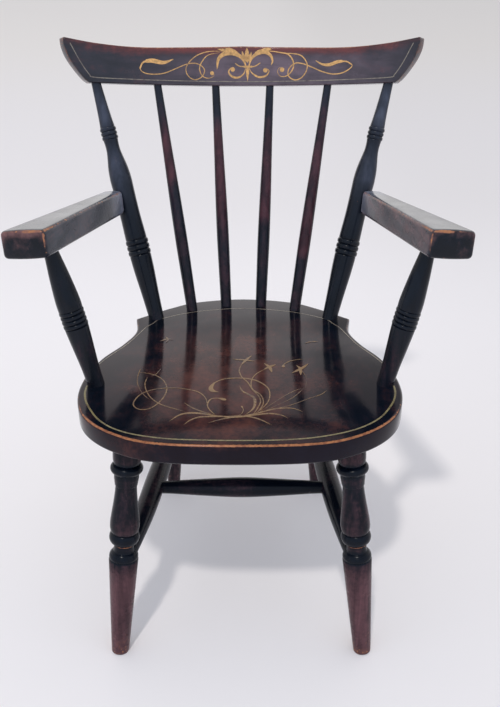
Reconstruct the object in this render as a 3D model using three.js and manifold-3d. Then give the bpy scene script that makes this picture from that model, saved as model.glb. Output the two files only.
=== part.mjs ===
// Child's painted spindle-back armchair.
// Units are millimetres, +Z is up, the sitter faces -Y. While the pieces are
// made, y = 0 is the front edge of the seat and z = 0 is the floor; at the end
// the whole chair is moved so that the origin is on the floor under its middle.
import * as THREE from 'three';
import { mergeVertices } from 'three/addons/utils/BufferGeometryUtils.js';
import Module from 'manifold-3d';

const wasm = await Module();
wasm.setup();

// Clearance left on every side of a tenon in its socket.
const FIT = 0.3;

// Seat plank.
const SEAT_WIDTH = 350;
const SEAT_DEPTH = 354;
const SEAT_THICKNESS = 24;
const SEAT_TOP = 285;
const SEAT_EDGE_ROUND = 3;
const SEAT_EDGE_STEPS = 2;
// Plan of one side, front middle to rear corner: half widths and depths as
// shares of the seat's half width and depth.
const SEAT_SIDE = [
  [0, 0], [0.47, 0.013], [0.735, 0.066], [0.915, 0.152], [0.994, 0.262],
  [0.997, 0.385], [0.932, 0.513], [0.817, 0.622], [0.752, 0.722], [0.776, 0.824],
];
// Rear edge from that corner to the middle of the back.
const SEAT_REAR = [[0.776, 0.824], [0.543, 0.918], [0.343, 0.973], [0, 1]];
const SEAT_SIDE_STEPS = 36;
const SEAT_REAR_STEPS = 14;

// Where the turned parts meet the seat, as shares of its half width and depth.
const POST_SPOT = [0.634, 0.836];
const OUTER_SPINDLE_SPOT = [0.383, 0.907];
const INNER_SPINDLE_SPOT = [0.131, 0.946];
const ARM_POST_SPOT = [0.909, 0.349];
const FRONT_LEG_SPOT = [0.659, 0.133];
const REAR_LEG_SPOT = [0.48, 0.797];

// Back: lean from the upright, and height of the crest's lower edge above the
// seat, both at the middle of the back.
const BACK_LEAN = THREE.MathUtils.degToRad(14.7);
const BACK_RISE = 267;
const BACK_FOOT = 0.953;

// Crest rail, a board bent to a circle and leaning with the back.
const CREST_BEND_RADIUS = 403;
const CREST_THICKNESS = 15;
const CREST_EDGE_ROUND = 3;
// Height of the top edge along one half, from the middle to the tip: shares of
// the half length, and heights above the lower edge.
const CREST_TOP = [[0, 47], [0.3, 45.2], [0.6, 43.6], [0.82, 46], [1, 50.5]];
// Curve of the ends: heights, and lengths along the bend from the middle.
const CREST_END = [[0, 190], [4, 195.5], [16, 205.8], [28, 214], [40, 218.8], [50.5, 220]];
const CREST_STEPS = 22;
const CREST_SIDE_STEPS = 5;
const POST_TOP_ARC = 180;
const OUTER_SPINDLE_TOP_ARC = 105;
const INNER_SPINDLE_TOP_ARC = 33.5;

// Arms: middle of the front end, and middle of the end beside the back post.
const ARM_FRONT_HALF_SPREAD = 207.9;
const ARM_FRONT_DEPTH = 86;
const ARM_FRONT_HEIGHT = 459.5;
const ARM_REAR_OFFSET = [12.5, -8, 3.5];
const ARM_JOINT = 0.503;
const ARM_THICKNESS = 27.5;
const ARM_FRONT_WIDTH = 47.5;
const ARM_REAR_WIDTH = 24;
const ARM_EDGE_ROUND = 4;
// Tilt of the arms about their length, outer edge down.
const ARM_TILT = THREE.MathUtils.degToRad(6);
const ARM_POST_SHARE = 0.22;
const ARM_TENON_RADIUS = 5;
const ARM_TENON_DEPTH = 25;
const ARM_TENON_STEPS = 7;
// Rounding of the arm's ends: distance from the end, and how much narrower and
// lower the section is there on each side.
const ARM_FRONT_ROUND = [[0, 3.2, 2.6], [1.6, 1, 0.8], [5, 0, 0]];
const ARM_REAR_ROUND = [[8, 0, 0], [3, 1.2, 1.6], [0, 5, 6.5]];

// Tenons and sockets.
const SEAT_TENON_DEPTH = 16;
const CREST_TENON_DEPTH = 20;
const ARM_SOCKET_DEPTH = 14;
const POST_TENON_RADIUS = 8;
const POST_CREST_TENON_RADIUS = 5.2;
const SPINDLE_TENON_RADIUS = 6;
const SPINDLE_CREST_TENON_RADIUS = 4.4;
const ARM_POST_HEAD_TENON_RADIUS = 6.4;
const LEG_TENON_RADIUS = 8;
const LEG_TENON_NECK = 1;
// Share of a tenon's depth over which the part still has its full radius.
const TENON_NECK_SHARE = 1 / 3;

// Legs: where the feet stand on the floor.
const FRONT_FOOT = [137.5, 12.5];
const REAR_FOOT = [104, 322];
const FLOOR_TRIM = 30;
// Below the floor a leg runs on by this much before it is cut flat.
const FOOT_RUN_ON = { radius: 7, depth: 6, neck: 0 };

// Stretchers: heights on the legs, shifts inwards from the leg axes, and share
// of the side stretcher's length at which the cross stretcher meets it.
const STRETCHER_FRONT_HEIGHT = 126;
const STRETCHER_REAR_HEIGHT = 130;
const STRETCHER_FRONT_INSET = 7;
const STRETCHER_REAR_INSET = 4;
const CROSS_SHARE = 0.43;
const STRETCHER_TENON_STOP = 3;
const CROSS_TENON_STOP = 3;

// Facets round the turned parts.
const LEG_FACETS = 16;
const POST_FACETS = 14;
const SPINDLE_FACETS = 10;
const STRETCHER_FACETS = 12;

// Turned profiles: pairs of a share of the exposed length and a radius.
const FRONT_LEG_PROFILE = [
  [0, 8.4], [0.012, 9.8], [0.459, 16], [0.466, 14.9], [0.471, 15.6], [0.479, 15.6],
  [0.488, 14.8], [0.496, 13.2], [0.5, 11.6], [0.508, 11], [0.536, 11], [0.545, 13.8],
  [0.555, 15.7], [0.567, 16.3], [0.579, 15.7], [0.589, 13.9], [0.597, 14.9], [0.61, 15.7],
  [0.624, 15.9], [0.648, 15.5], [0.684, 14.4], [0.727, 12.9], [0.772, 11.7], [0.805, 11.2],
  [0.812, 12.1], [0.838, 13.1], [0.861, 13.2], [0.867, 15.7], [0.874, 16.9], [0.88, 17.2],
  [0.886, 16.9], [0.893, 15.6], [0.898, 12.9], [0.907, 14.2], [0.922, 14.9], [0.95, 15.2],
  [0.985, 14.8], [1, 13.6],
];
const REAR_LEG_PROFILE = [
  [0, 7.6], [0.012, 8.6], [0.25, 10.4], [0.48, 12.2], [0.58, 12.2], [0.8, 11.4], [1, 10.4],
];
const ARM_POST_PROFILE = [
  [0, 9.2], [0.14, 9.8], [0.28, 11.4], [0.42, 12.8], [0.58, 13.1], [0.66, 12.6], [0.8, 10.6],
  [0.92, 8.4], [1, 7.2],
];
const ARM_POST_RINGS = { from: 0.43, to: 0.555, beads: 4, radius: 13.4, groove: 12.1 };
const POST_PROFILE = [
  [0, 9.4], [0.1, 10.8], [0.2, 12.6], [0.265, 13.2], [0.36, 13.0], [0.45, 12.4], [0.54, 12.8],
  [0.6, 13.2], [0.65, 12.2], [0.7, 9.4], [0.725, 8.3], [0.755, 8.5], [0.83, 8.2],
  [0.9, 7.0], [1, 5.7],
];
const POST_LOWER_RINGS = { from: 0.277, to: 0.345, beads: 3, radius: 14.1, groove: 12.7 };
const POST_UPPER_RINGS = { from: 0.768, to: 0.82, beads: 3, radius: 9.8, groove: 8.6 };
const SPINDLE_PROFILE = [
  [0, 7.0], [0.14, 7.4], [0.32, 7.8], [0.52, 7.2], [0.76, 5.8], [1, 4.8],
];
const SIDE_STRETCHER_PROFILE = [
  [0, 6.6], [0.1, 8.8], [0.26, 11.6], [0.45, 12.5], [0.62, 11.8], [0.85, 8.2], [1, 6.2],
];
const CROSS_STRETCHER_PROFILE = [
  [0, 7.4], [0.1, 7.8], [0.3, 10.4], [0.5, 12.1], [0.7, 10.4], [0.9, 7.8], [1, 7.4],
];

// A closed Manifold solid from any geometry: welded, without flat triangles.
function solid(geometry) {
  const bare = geometry.clone();
  bare.deleteAttribute('normal');
  bare.deleteAttribute('uv');
  const welded = mergeVertices(bare, 1e-4);
  const index = welded.index.array;
  const kept = [];
  for (let i = 0; i < index.length; i += 3) {
    const [a, b, c] = [index[i], index[i + 1], index[i + 2]];
    if (a !== b && b !== c && c !== a) kept.push(a, b, c);
  }
  return new wasm.Manifold(new wasm.Mesh({
    numProp: 3,
    vertProperties: new Float32Array(welded.attributes.position.array),
    triVerts: new Uint32Array(kept),
  }));
}

// Turned beads with grooves between them, cut into a profile. Each bead has its
// full radius between these shares of its length.
const BEAD_CREST = [0.28, 0.72];
function withRings(profile, rings) {
  const pitch = (rings.to - rings.from) / rings.beads;
  const beads = [];
  for (let i = 0; i < rings.beads; i += 1) {
    const start = rings.from + i * pitch;
    beads.push([start, rings.groove]);
    for (const share of BEAD_CREST) beads.push([start + pitch * share, rings.radius]);
  }
  beads.push([rings.to, rings.groove]);
  const outside = profile.filter(([share]) => share < rings.from || share > rings.to);
  return [...outside, ...beads].sort((a, b) => a[0] - b[0]);
}

// A part turned on the line from one point to another. The profile covers the
// exposed length; a tenon can follow at each end. The cutter is the same part
// grown by the clearance, for the socket it sits in.
function turned(from, to, profile, facets, footTenon, headTenon) {
  const axis = new THREE.Vector3().subVectors(to, from);
  const length = axis.length();
  const build = (grow) => {
    const points = [];
    const first = profile[0][1];
    const last = profile[profile.length - 1][1];
    if (footTenon) {
      points.push([0, -footTenon.depth - grow]);
      points.push([footTenon.radius + grow, -footTenon.depth - grow]);
      points.push([footTenon.radius + grow, -footTenon.neck - grow]);
      points.push([first + grow, -footTenon.neck - grow]);
    } else {
      points.push([0, -grow]);
      points.push([first + grow, -grow]);
    }
    for (const [share, radius] of profile) points.push([radius + grow, share * length]);
    if (headTenon) {
      points.push([last + grow, length + headTenon.neck + grow]);
      points.push([headTenon.radius + grow, length + headTenon.neck + grow]);
      points.push([headTenon.radius + grow, length + headTenon.depth + grow]);
      points.push([0, length + headTenon.depth + grow]);
    } else {
      points.push([last + grow, length + grow]);
      points.push([0, length + grow]);
    }
    const lathe = new THREE.LatheGeometry(points.map(([r, h]) => new THREE.Vector2(r, h)), facets);
    const up = new THREE.Vector3(0, 1, 0);
    const turn = new THREE.Quaternion().setFromUnitVectors(up, axis.clone().normalize());
    lathe.applyQuaternion(turn);
    lathe.translate(from.x, from.y, from.z);
    return solid(lathe);
  };
  return { from, to, body: build(0), cutter: build(FIT) };
}

// A closed skin over a row of rings that all have the same number of points.
// The ends are closed with strips between opposite points.
function loft(rings) {
  const count = rings[0].length;
  const positions = [];
  const index = [];
  for (const ring of rings) {
    for (const p of ring) positions.push(p.x, p.y, p.z);
  }
  for (let i = 0; i + 1 < rings.length; i += 1) {
    for (let j = 0; j < count; j += 1) {
      const a = i * count + j;
      const b = i * count + ((j + 1) % count);
      index.push(a, b, b + count, a, b + count, a + count);
    }
  }
  const lastRing = (rings.length - 1) * count;
  for (let j = 0; 2 * j + 3 < count; j += 1) {
    const [a, b, c, d] = [j, j + 1, count - 2 - j, count - 1 - j];
    index.push(a, c, b, a, d, c);
    index.push(lastRing + a, lastRing + b, lastRing + c, lastRing + a, lastRing + c, lastRing + d);
  }
  const skin = new THREE.BufferGeometry();
  skin.setAttribute('position', new THREE.Float32BufferAttribute(positions, 3));
  skin.setIndex(index);
  return skin;
}

// Outline of a rounded rectangle about its middle, anticlockwise.
// Its upright sides can be divided into steps.
function roundedSection(halfWidth, halfHeight, round, sideSteps = 1) {
  const points = [];
  const middles = [[1, -1], [1, 1], [-1, 1], [-1, -1]];
  middles.forEach(([sx, sy], corner) => {
    for (let k = 0; k <= 2; k += 1) {
      const angle = (corner - 1 + k / 2) * Math.PI / 2;
      const x = sx * (halfWidth - round) + round * Math.cos(angle);
      const y = sy * (halfHeight - round) + round * Math.sin(angle);
      points.push([x, y]);
    }
    if (corner % 2 === 0) {
      for (let k = 1; k < sideSteps; k += 1) {
        points.push([sx * halfWidth, sy * (halfHeight - round) * (1 - 2 * k / sideSteps)]);
      }
    }
  });
  return points;
}

// Value of a smooth curve through pairs of a place and a value.
function curveValue(pairs, place) {
  let i = 0;
  while (i + 2 < pairs.length && place > pairs[i + 1][0]) i += 1;
  const before = pairs[Math.max(i - 1, 0)];
  const after = pairs[Math.min(i + 2, pairs.length - 1)];
  const [[x0, y0], [x1, y1]] = [pairs[i], pairs[i + 1]];
  const run = x1 - x0;
  const t = THREE.MathUtils.clamp((place - x0) / run, 0, 1);
  const slope0 = (y1 - before[1]) / (x1 - before[0]) * run;
  const slope1 = (after[1] - y0) / (after[0] - x0) * run;
  return (2 * t ** 3 - 3 * t ** 2 + 1) * y0 + (t ** 3 - 2 * t ** 2 + t) * slope0
    + (3 * t ** 2 - 2 * t ** 3) * y1 + (t ** 3 - t ** 2) * slope1;
}

function mirrored(point) {
  return new THREE.Vector3(-point.x, point.y, point.z);
}

// A point of the seat given as shares of its half width and depth.
function seatPoint([across, back], height) {
  return new THREE.Vector3(across * SEAT_WIDTH / 2, back * SEAT_DEPTH, height);
}

// Crest: a point by its length along the bend, height and depth from the front.
function crestPoint(along, height, depth) {
  const angle = along / CREST_BEND_RADIUS;
  const radius = CREST_BEND_RADIUS + depth;
  const out = radius * Math.cos(angle) - CREST_BEND_RADIUS;
  const y = BACK_FOOT * SEAT_DEPTH + BACK_RISE * Math.tan(BACK_LEAN);
  return new THREE.Vector3(
    radius * Math.sin(angle),
    y + out * Math.cos(BACK_LEAN) + height * Math.sin(BACK_LEAN),
    SEAT_TOP + BACK_RISE - out * Math.sin(BACK_LEAN) + height * Math.cos(BACK_LEAN),
  );
}

// Seat plank with its edges rounded.
function makeSeat() {
  const half = SEAT_WIDTH / 2;
  const inner = (share) => Math.max(share[0] * half - SEAT_EDGE_ROUND, 0);
  const inset = (share) => SEAT_EDGE_ROUND + share[1] * (SEAT_DEPTH - 2 * SEAT_EDGE_ROUND);
  const side = SEAT_SIDE.map((s) => new THREE.Vector2(inner(s), inset(s)));
  const rear = SEAT_REAR.map((s) => new THREE.Vector2(inner(s), inset(s)));
  const flip = (p) => new THREE.Vector2(-p.x, p.y);
  const front = [...side.slice(1).reverse().map(flip), ...side];
  const back = [...rear, ...rear.slice(0, -1).reverse().map(flip)];
  const around = [
    ...new THREE.SplineCurve(front).getPoints(SEAT_SIDE_STEPS),
    ...new THREE.SplineCurve(back).getPoints(SEAT_REAR_STEPS).slice(1, -1),
  ];
  const plank = new THREE.ExtrudeGeometry(new THREE.Shape(around), {
    depth: SEAT_THICKNESS - 2 * SEAT_EDGE_ROUND,
    bevelEnabled: true,
    bevelThickness: SEAT_EDGE_ROUND,
    bevelSize: SEAT_EDGE_ROUND,
    bevelSegments: SEAT_EDGE_STEPS,
  });
  plank.translate(0, 0, SEAT_TOP - SEAT_THICKNESS + SEAT_EDGE_ROUND);
  return solid(plank);
}

// Bent crest rail: sections from tip to tip, curved in at the ends.
function makeCrest() {
  const rings = [];
  for (let i = 0; i <= CREST_STEPS; i += 1) {
    const share = 2 * i / CREST_STEPS - 1;
    const half = curveValue(CREST_TOP, Math.abs(share)) / 2;
    const section = roundedSection(CREST_THICKNESS / 2, half, CREST_EDGE_ROUND, CREST_SIDE_STEPS);
    rings.push(section.map(([t, w]) => {
      const height = half + w;
      return crestPoint(share * curveValue(CREST_END, height), height, CREST_THICKNESS / 2 + t);
    }));
  }
  return solid(loft(rings));
}

// Arm board from its front end to its end beside the back post.
function makeArm(front, rear) {
  const along = new THREE.Vector3().subVectors(rear, front);
  const length = along.length();
  along.normalize();
  const across = new THREE.Vector3().crossVectors(along, new THREE.Vector3(0, 0, 1)).normalize();
  across.applyAxisAngle(along, Math.sign(front.x) * ARM_TILT);
  const up = new THREE.Vector3().crossVectors(across, along);
  const halfThick = ARM_THICKNESS / 2;
  const stations = [
    ...ARM_FRONT_ROUND,
    ...ARM_REAR_ROUND.map(([fromEnd, trimWidth, trimHeight]) => [length - fromEnd, trimWidth, trimHeight]),
  ];
  const rings = stations.map(([distance, trimWidth, trimHeight]) => {
    const wide = THREE.MathUtils.lerp(ARM_FRONT_WIDTH, ARM_REAR_WIDTH, distance / length) / 2;
    const section = roundedSection(wide - trimWidth, halfThick - trimHeight, ARM_EDGE_ROUND);
    return section.map(([x, z]) => front.clone()
      .addScaledVector(along, distance)
      .addScaledVector(across, x)
      .addScaledVector(up, z));
  });
  return solid(loft(rings.reverse()));
}

// Round peg between two points, for the arm's tenon in the back post.
function peg(from, to, radius) {
  const line = new THREE.LineCurve3(from, to);
  const circle = new THREE.Shape().absarc(0, 0, radius, 0, Math.PI * 2);
  const options = { extrudePath: line, steps: 1, curveSegments: ARM_TENON_STEPS };
  return solid(new THREE.ExtrudeGeometry(circle, options));
}

const chair = new THREE.Group();
chair.name = 'painted_spindle_armchair';
const paint = new THREE.MeshStandardMaterial({ color: 0x1d1718, roughness: 0.3, metalness: 0 });
paint.name = 'painted_wood';

function addPiece(name, body) {
  const mesh = body.getMesh();
  const geometry = new THREE.BufferGeometry();
  geometry.setAttribute('position', new THREE.Float32BufferAttribute(mesh.vertProperties, 3));
  geometry.setIndex(Array.from(mesh.triVerts));
  geometry.computeVertexNormals();
  const piece = new THREE.Mesh(geometry, paint);
  piece.name = name;
  chair.add(piece);
}

const underside = SEAT_TOP - SEAT_THICKNESS;
const tenon = (radius, depth, neck = depth * TENON_NECK_SHARE) => ({ radius, depth, neck });
const floorSlab = new THREE.BoxGeometry(4 * SEAT_WIDTH, 4 * SEAT_DEPTH, FLOOR_TRIM);
floorSlab.translate(0, SEAT_DEPTH / 2, -FLOOR_TRIM / 2);
const floor = solid(floorSlab);

// Everything on one side of the chair; the sign is 1 for +X and -1 for -X.
function makeSide(sign) {
  const place = (point) => (sign > 0 ? point : mirrored(point));
  const spot = (share, height) => place(seatPoint(share, height));
  const arc = (along) => place(crestPoint(along, 0, CREST_THICKNESS / 2));

  const postProfile = withRings(withRings(POST_PROFILE, POST_LOWER_RINGS), POST_UPPER_RINGS);
  const post = turned(spot(POST_SPOT, SEAT_TOP), arc(POST_TOP_ARC), postProfile, POST_FACETS,
    tenon(POST_TENON_RADIUS, SEAT_TENON_DEPTH), tenon(POST_CREST_TENON_RADIUS, CREST_TENON_DEPTH));
  const spindleLine = (share, along) => turned(spot(share, SEAT_TOP), arc(along), SPINDLE_PROFILE,
    SPINDLE_FACETS, tenon(SPINDLE_TENON_RADIUS, SEAT_TENON_DEPTH),
    tenon(SPINDLE_CREST_TENON_RADIUS, CREST_TENON_DEPTH));
  const outerSpindle = spindleLine(OUTER_SPINDLE_SPOT, OUTER_SPINDLE_TOP_ARC);
  const innerSpindle = spindleLine(INNER_SPINDLE_SPOT, INNER_SPINDLE_TOP_ARC);

  // Arm board, coped to the back post and pegged into it.
  const joint = new THREE.Vector3().lerpVectors(post.from, post.to, ARM_JOINT);
  const [outside, behind, above] = ARM_REAR_OFFSET;
  const armFront = place(new THREE.Vector3(ARM_FRONT_HALF_SPREAD, ARM_FRONT_DEPTH, ARM_FRONT_HEIGHT));
  const armRear = joint.clone().add(new THREE.Vector3(sign * outside, behind, above));
  const armLine = new THREE.Vector3().subVectors(armRear, armFront);
  const pegFrom = armRear.clone().addScaledVector(armLine, -ARM_REAR_WIDTH / 2 / armLine.length());
  pegFrom.x += sign * ARM_TENON_RADIUS;
  const inwards = new THREE.Vector3().subVectors(joint, pegFrom).normalize();
  const pegTo = pegFrom.clone().addScaledVector(inwards, ARM_TENON_DEPTH);
  const pegEnd = pegTo.clone().addScaledVector(inwards, FIT);
  const armPeg = peg(pegFrom, pegTo, ARM_TENON_RADIUS);
  const armPegCutter = peg(pegFrom, pegEnd, ARM_TENON_RADIUS + FIT);

  const armPostHead = armFront.clone().addScaledVector(armLine, ARM_POST_SHARE);
  const tilt = armLine.z / Math.hypot(armLine.x, armLine.y);
  armPostHead.z -= ARM_THICKNESS / 2 * Math.hypot(1, tilt);
  const armPost = turned(spot(ARM_POST_SPOT, SEAT_TOP), armPostHead,
    withRings(ARM_POST_PROFILE, ARM_POST_RINGS), POST_FACETS,
    tenon(POST_TENON_RADIUS, SEAT_TENON_DEPTH), tenon(ARM_POST_HEAD_TENON_RADIUS, ARM_SOCKET_DEPTH));
  const arm = makeArm(armFront, armRear)
    .subtract(post.cutter)
    .add(armPeg)
    .subtract(armPost.cutter);

  // Legs run on past the floor and are cut flat there.
  const legTenon = tenon(LEG_TENON_RADIUS, SEAT_TENON_DEPTH, LEG_TENON_NECK);
  const onFloor = ([x, y]) => place(new THREE.Vector3(x, y, 0));
  const frontLeg = turned(onFloor(FRONT_FOOT), spot(FRONT_LEG_SPOT, underside), FRONT_LEG_PROFILE,
    LEG_FACETS, FOOT_RUN_ON, legTenon);
  const rearLeg = turned(onFloor(REAR_FOOT), spot(REAR_LEG_SPOT, underside), REAR_LEG_PROFILE,
    POST_FACETS, FOOT_RUN_ON, legTenon);

  // Side stretcher between the legs.
  const onLeg = (leg, height, inset) => {
    const point = new THREE.Vector3().lerpVectors(leg.from, leg.to, height / underside);
    point.x -= sign * inset;
    return point;
  };
  const frontSocket = onLeg(frontLeg, STRETCHER_FRONT_HEIGHT, STRETCHER_FRONT_INSET);
  const rearSocket = onLeg(rearLeg, STRETCHER_REAR_HEIGHT, STRETCHER_REAR_INSET);
  const run = new THREE.Vector3().subVectors(rearSocket, frontSocket).normalize();
  const stretcherFrom = frontSocket.clone().addScaledVector(run, STRETCHER_TENON_STOP);
  const stretcherTo = rearSocket.clone().addScaledVector(run, -STRETCHER_TENON_STOP);
  const stretcher = turned(stretcherFrom, stretcherTo, SIDE_STRETCHER_PROFILE, STRETCHER_FACETS);
  const crossEnd = new THREE.Vector3().lerpVectors(frontSocket, rearSocket, CROSS_SHARE);

  return {
    post, outerSpindle, innerSpindle, arm, armPost, armPegCutter, frontLeg, rearLeg, stretcher, crossEnd,
  };
}

const sides = [['left', makeSide(-1)], ['right', makeSide(1)]];
const crossFrom = sides[0][1].crossEnd.clone();
const crossTo = sides[1][1].crossEnd.clone();
crossFrom.x += CROSS_TENON_STOP;
crossTo.x -= CROSS_TENON_STOP;
const cross = turned(crossFrom, crossTo, CROSS_STRETCHER_PROFILE, STRETCHER_FACETS);

let seat = makeSeat();
let crest = makeCrest();
for (const [, side] of sides) {
  for (const part of [side.post, side.outerSpindle, side.innerSpindle]) {
    seat = seat.subtract(part.cutter);
    crest = crest.subtract(part.cutter);
  }
  for (const part of [side.armPost, side.frontLeg, side.rearLeg]) seat = seat.subtract(part.cutter);
}
addPiece('seat', seat);
addPiece('crest_rail', crest);
for (const [name, side] of sides) {
  addPiece(`back_post_${name}`, side.post.body.subtract(side.armPegCutter));
  addPiece(`spindle_outer_${name}`, side.outerSpindle.body);
  addPiece(`spindle_inner_${name}`, side.innerSpindle.body);
  addPiece(`arm_${name}`, side.arm);
  addPiece(`arm_post_${name}`, side.armPost.body);
  addPiece(`front_leg_${name}`, side.frontLeg.body.subtract(side.stretcher.cutter).subtract(floor));
  addPiece(`rear_leg_${name}`, side.rearLeg.body.subtract(side.stretcher.cutter).subtract(floor));
  addPiece(`side_stretcher_${name}`, side.stretcher.body.subtract(cross.cutter));
}
addPiece('cross_stretcher', cross.body);

// Origin on the floor, under the middle of the chair's extents.
const middle = new THREE.Box3().setFromObject(chair).getCenter(new THREE.Vector3());
for (const piece of chair.children) piece.geometry.translate(-middle.x, -middle.y, 0);

export default chair;
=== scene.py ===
"""Looks of a child's painted spindle-back armchair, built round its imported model."""
import math

import bmesh
import bpy
from mathutils import Matrix, Vector


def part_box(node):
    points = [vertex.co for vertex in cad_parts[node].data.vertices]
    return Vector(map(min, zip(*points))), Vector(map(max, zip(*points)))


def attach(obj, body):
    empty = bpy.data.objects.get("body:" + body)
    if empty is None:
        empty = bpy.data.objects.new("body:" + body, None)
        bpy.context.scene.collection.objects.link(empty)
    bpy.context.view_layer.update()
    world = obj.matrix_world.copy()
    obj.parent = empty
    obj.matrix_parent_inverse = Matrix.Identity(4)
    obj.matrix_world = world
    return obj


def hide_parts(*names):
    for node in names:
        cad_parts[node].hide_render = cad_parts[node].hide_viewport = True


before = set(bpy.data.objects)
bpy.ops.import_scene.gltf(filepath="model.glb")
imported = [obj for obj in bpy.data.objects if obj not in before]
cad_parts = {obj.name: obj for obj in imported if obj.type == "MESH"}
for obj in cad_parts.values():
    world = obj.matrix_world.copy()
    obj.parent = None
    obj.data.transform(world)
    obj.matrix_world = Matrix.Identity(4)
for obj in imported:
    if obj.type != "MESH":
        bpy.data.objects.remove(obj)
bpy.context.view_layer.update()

bl_info = {
    "name": "Painted spindle-back armchair",
    "version": (1, 0, 0),
    "blender": (4, 5, 0),
    "location": "3D View > Sidebar > Armchair",
    "description": "Builds the turned, bent and painted pieces of a worn child's armchair",
    "category": "Object",
}

MM = 0.001
MERGE = 1e-6
SEAT_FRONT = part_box("seat")[0][1]
SIDES = (("left", -1), ("right", 1))
# How far turned pieces run into their sockets, and legs below the floor before they are cut level.
TENON = 12 * MM
FOOT_TRIM = 4 * MM
# Angle between two faces of a board, in radians, past which the edge between them is rounded.
SHARP_EDGE = 1.0

# The photograph's camera and light. Pixels are the photograph's. The camera's y is from
# the seat's front edge.
PHOTO_HEIGHT = 707
FOCAL_PIXELS = 850
SHIFT_PIXELS = -8.7
SENSOR_WIDTH = 36
CAMERA_PLACE = (0.020, -0.691, 0.746)
CAMERA_DIP = math.radians(27.5)
LAMP_PLACE = (-1.3, -5.5, 10.0)
LAMP_AIM = (0, 0, 0.25)
LAMP_SIZE = 0.7
LAMP_WATTS = 385
LAMP_COLOUR = (1.0, 0.965, 0.92)

# Seat plan, as shares of half width and depth: front middle to rear corner,
# then rear corner to the middle of the back.
SEAT_SIDE = ((0, 0), (0.47, 0.013), (0.735, 0.066), (0.915, 0.152), (0.994, 0.262),
             (0.997, 0.385), (0.932, 0.513), (0.817, 0.622), (0.752, 0.722), (0.776, 0.824))
SEAT_REAR = ((0.776, 0.824), (0.543, 0.918), (0.343, 0.973), (0, 1))
SPOTS = {
    "back_post": (0.634, 0.836),
    "spindle_outer": (0.383, 0.907),
    "spindle_inner": (0.131, 0.946),
    "arm_post": (0.909, 0.349),
    "front_leg": (0.659, 0.133),
    "rear_leg": (0.48, 0.797),
}
CREST_ARCS = {"back_post": 180 * MM, "spindle_outer": 105 * MM, "spindle_inner": 33.5 * MM}
# Top edge of the crest: share of its half length, height. Ends of the crest:
# height, length along the bend from the middle.
CREST_TOP = ((0, 47), (0.3, 45.2), (0.6, 43.6), (0.82, 46), (1, 50.5))
CREST_END = ((0, 190), (4, 195.5), (16, 205.8), (28, 214), (40, 218.8), (50.5, 220))
# Rounding of the arms' ends: distance from the end, and how much narrower and
# lower the section is there on each side.
ARM_FRONT_ROUND = ((-0.9, 13, 8.5), (-0.6, 8, 5.8), (0, 4.2, 3.4), (0.5, 2.7, 2.2), (1.2, 1.6, 1.3),
                   (2.2, 0.75, 0.6), (3.6, 0.2, 0.15), (5.5, 0, 0))
ARM_REAR_ROUND = ((9, 0, 0), (6.5, 0.4, 0.6), (4.2, 1.2, 1.7), (2.3, 2.4, 3.3), (1, 3.6, 4.8),
                  (0.3, 4.6, 6),
                  (0, 5.4, 7))

# Turned outlines: share of the exposed length, radius in millimetres, and "k"
# where the outline turns a sharp corner.
FRONT_LEG = (
    (0, 8.2, "k"), (0.006, 9.3), (0.016, 9.9), (0.2, 12.5), (0.459, 16.0, "k"), (0.4655, 14.8, "k"),
    (0.469, 15.5), (0.476, 15.75), (0.483, 15.4), (0.4875, 15.0, "k"), (0.4895, 14.3, "k"),
    (0.494, 13.7), (0.4985, 12.5), (0.501, 11.5, "k"), (0.508, 11.1), (0.522, 10.9), (0.536, 11.0, "k"),
    (0.5395, 12.9), (0.547, 14.8), (0.556, 15.9), (0.567, 16.3), (0.578, 15.8), (0.586, 14.7),
    (0.589, 13.9, "k"), (0.594, 14.6), (0.602, 15.3), (0.612, 15.75), (0.624, 15.9), (0.648, 15.5),
    (0.684, 14.4), (0.727, 12.9), (0.772, 11.7), (0.803, 11.2, "k"), (0.8055, 11.9), (0.812, 12.2),
    (0.826, 12.65), (0.838, 13.1, "k"), (0.861, 13.0, "k"), (0.8635, 14.9), (0.868, 16.1), (0.874, 16.95),
    (0.88, 17.2), (0.886, 16.95), (0.892, 16.0), (0.8965, 14.4), (0.898, 12.9, "k"), (0.9015, 13.6),
    (0.908, 14.3), (0.922, 14.9), (0.95, 15.2), (0.98, 14.9), (1, 13.6, "k"),
)
REAR_LEG = (
    (0, 7.4, "k"), (0.006, 8.3), (0.016, 8.7), (0.25, 10.4), (0.48, 12.2), (0.58, 12.3), (0.8, 11.4),
    (1, 10.4, "k"),
)
SPINDLE = ((0, 7.0, "k"), (0.14, 7.4), (0.32, 7.8), (0.52, 7.2), (0.76, 5.8), (1, 4.8, "k"))
SIDE_STRETCHER = (
    (0, 6.6, "k"), (0.1, 8.8), (0.26, 11.6), (0.45, 12.5), (0.62, 11.8), (0.85, 8.2), (1, 6.2, "k"),
)
CROSS_STRETCHER = (
    (0, 7.4, "k"), (0.1, 7.8), (0.3, 10.4), (0.5, 12.1), (0.7, 10.4), (0.9, 7.8), (1, 7.4, "k"),
)


def rings(start, end, beads, radius, groove):
    """Stations of a group of turned beads with sharp grooves between them."""
    pitch = (end - start) / beads
    stations = []
    for i in range(beads):
        foot = start + i * pitch
        rise = radius - groove
        stations += [(foot, groove, "k"), (foot + 0.2 * pitch, groove + 0.78 * rise),
                     (foot + 0.5 * pitch, radius), (foot + 0.8 * pitch, groove + 0.78 * rise)]
    return tuple(stations) + ((end, groove, "k"),)


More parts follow.
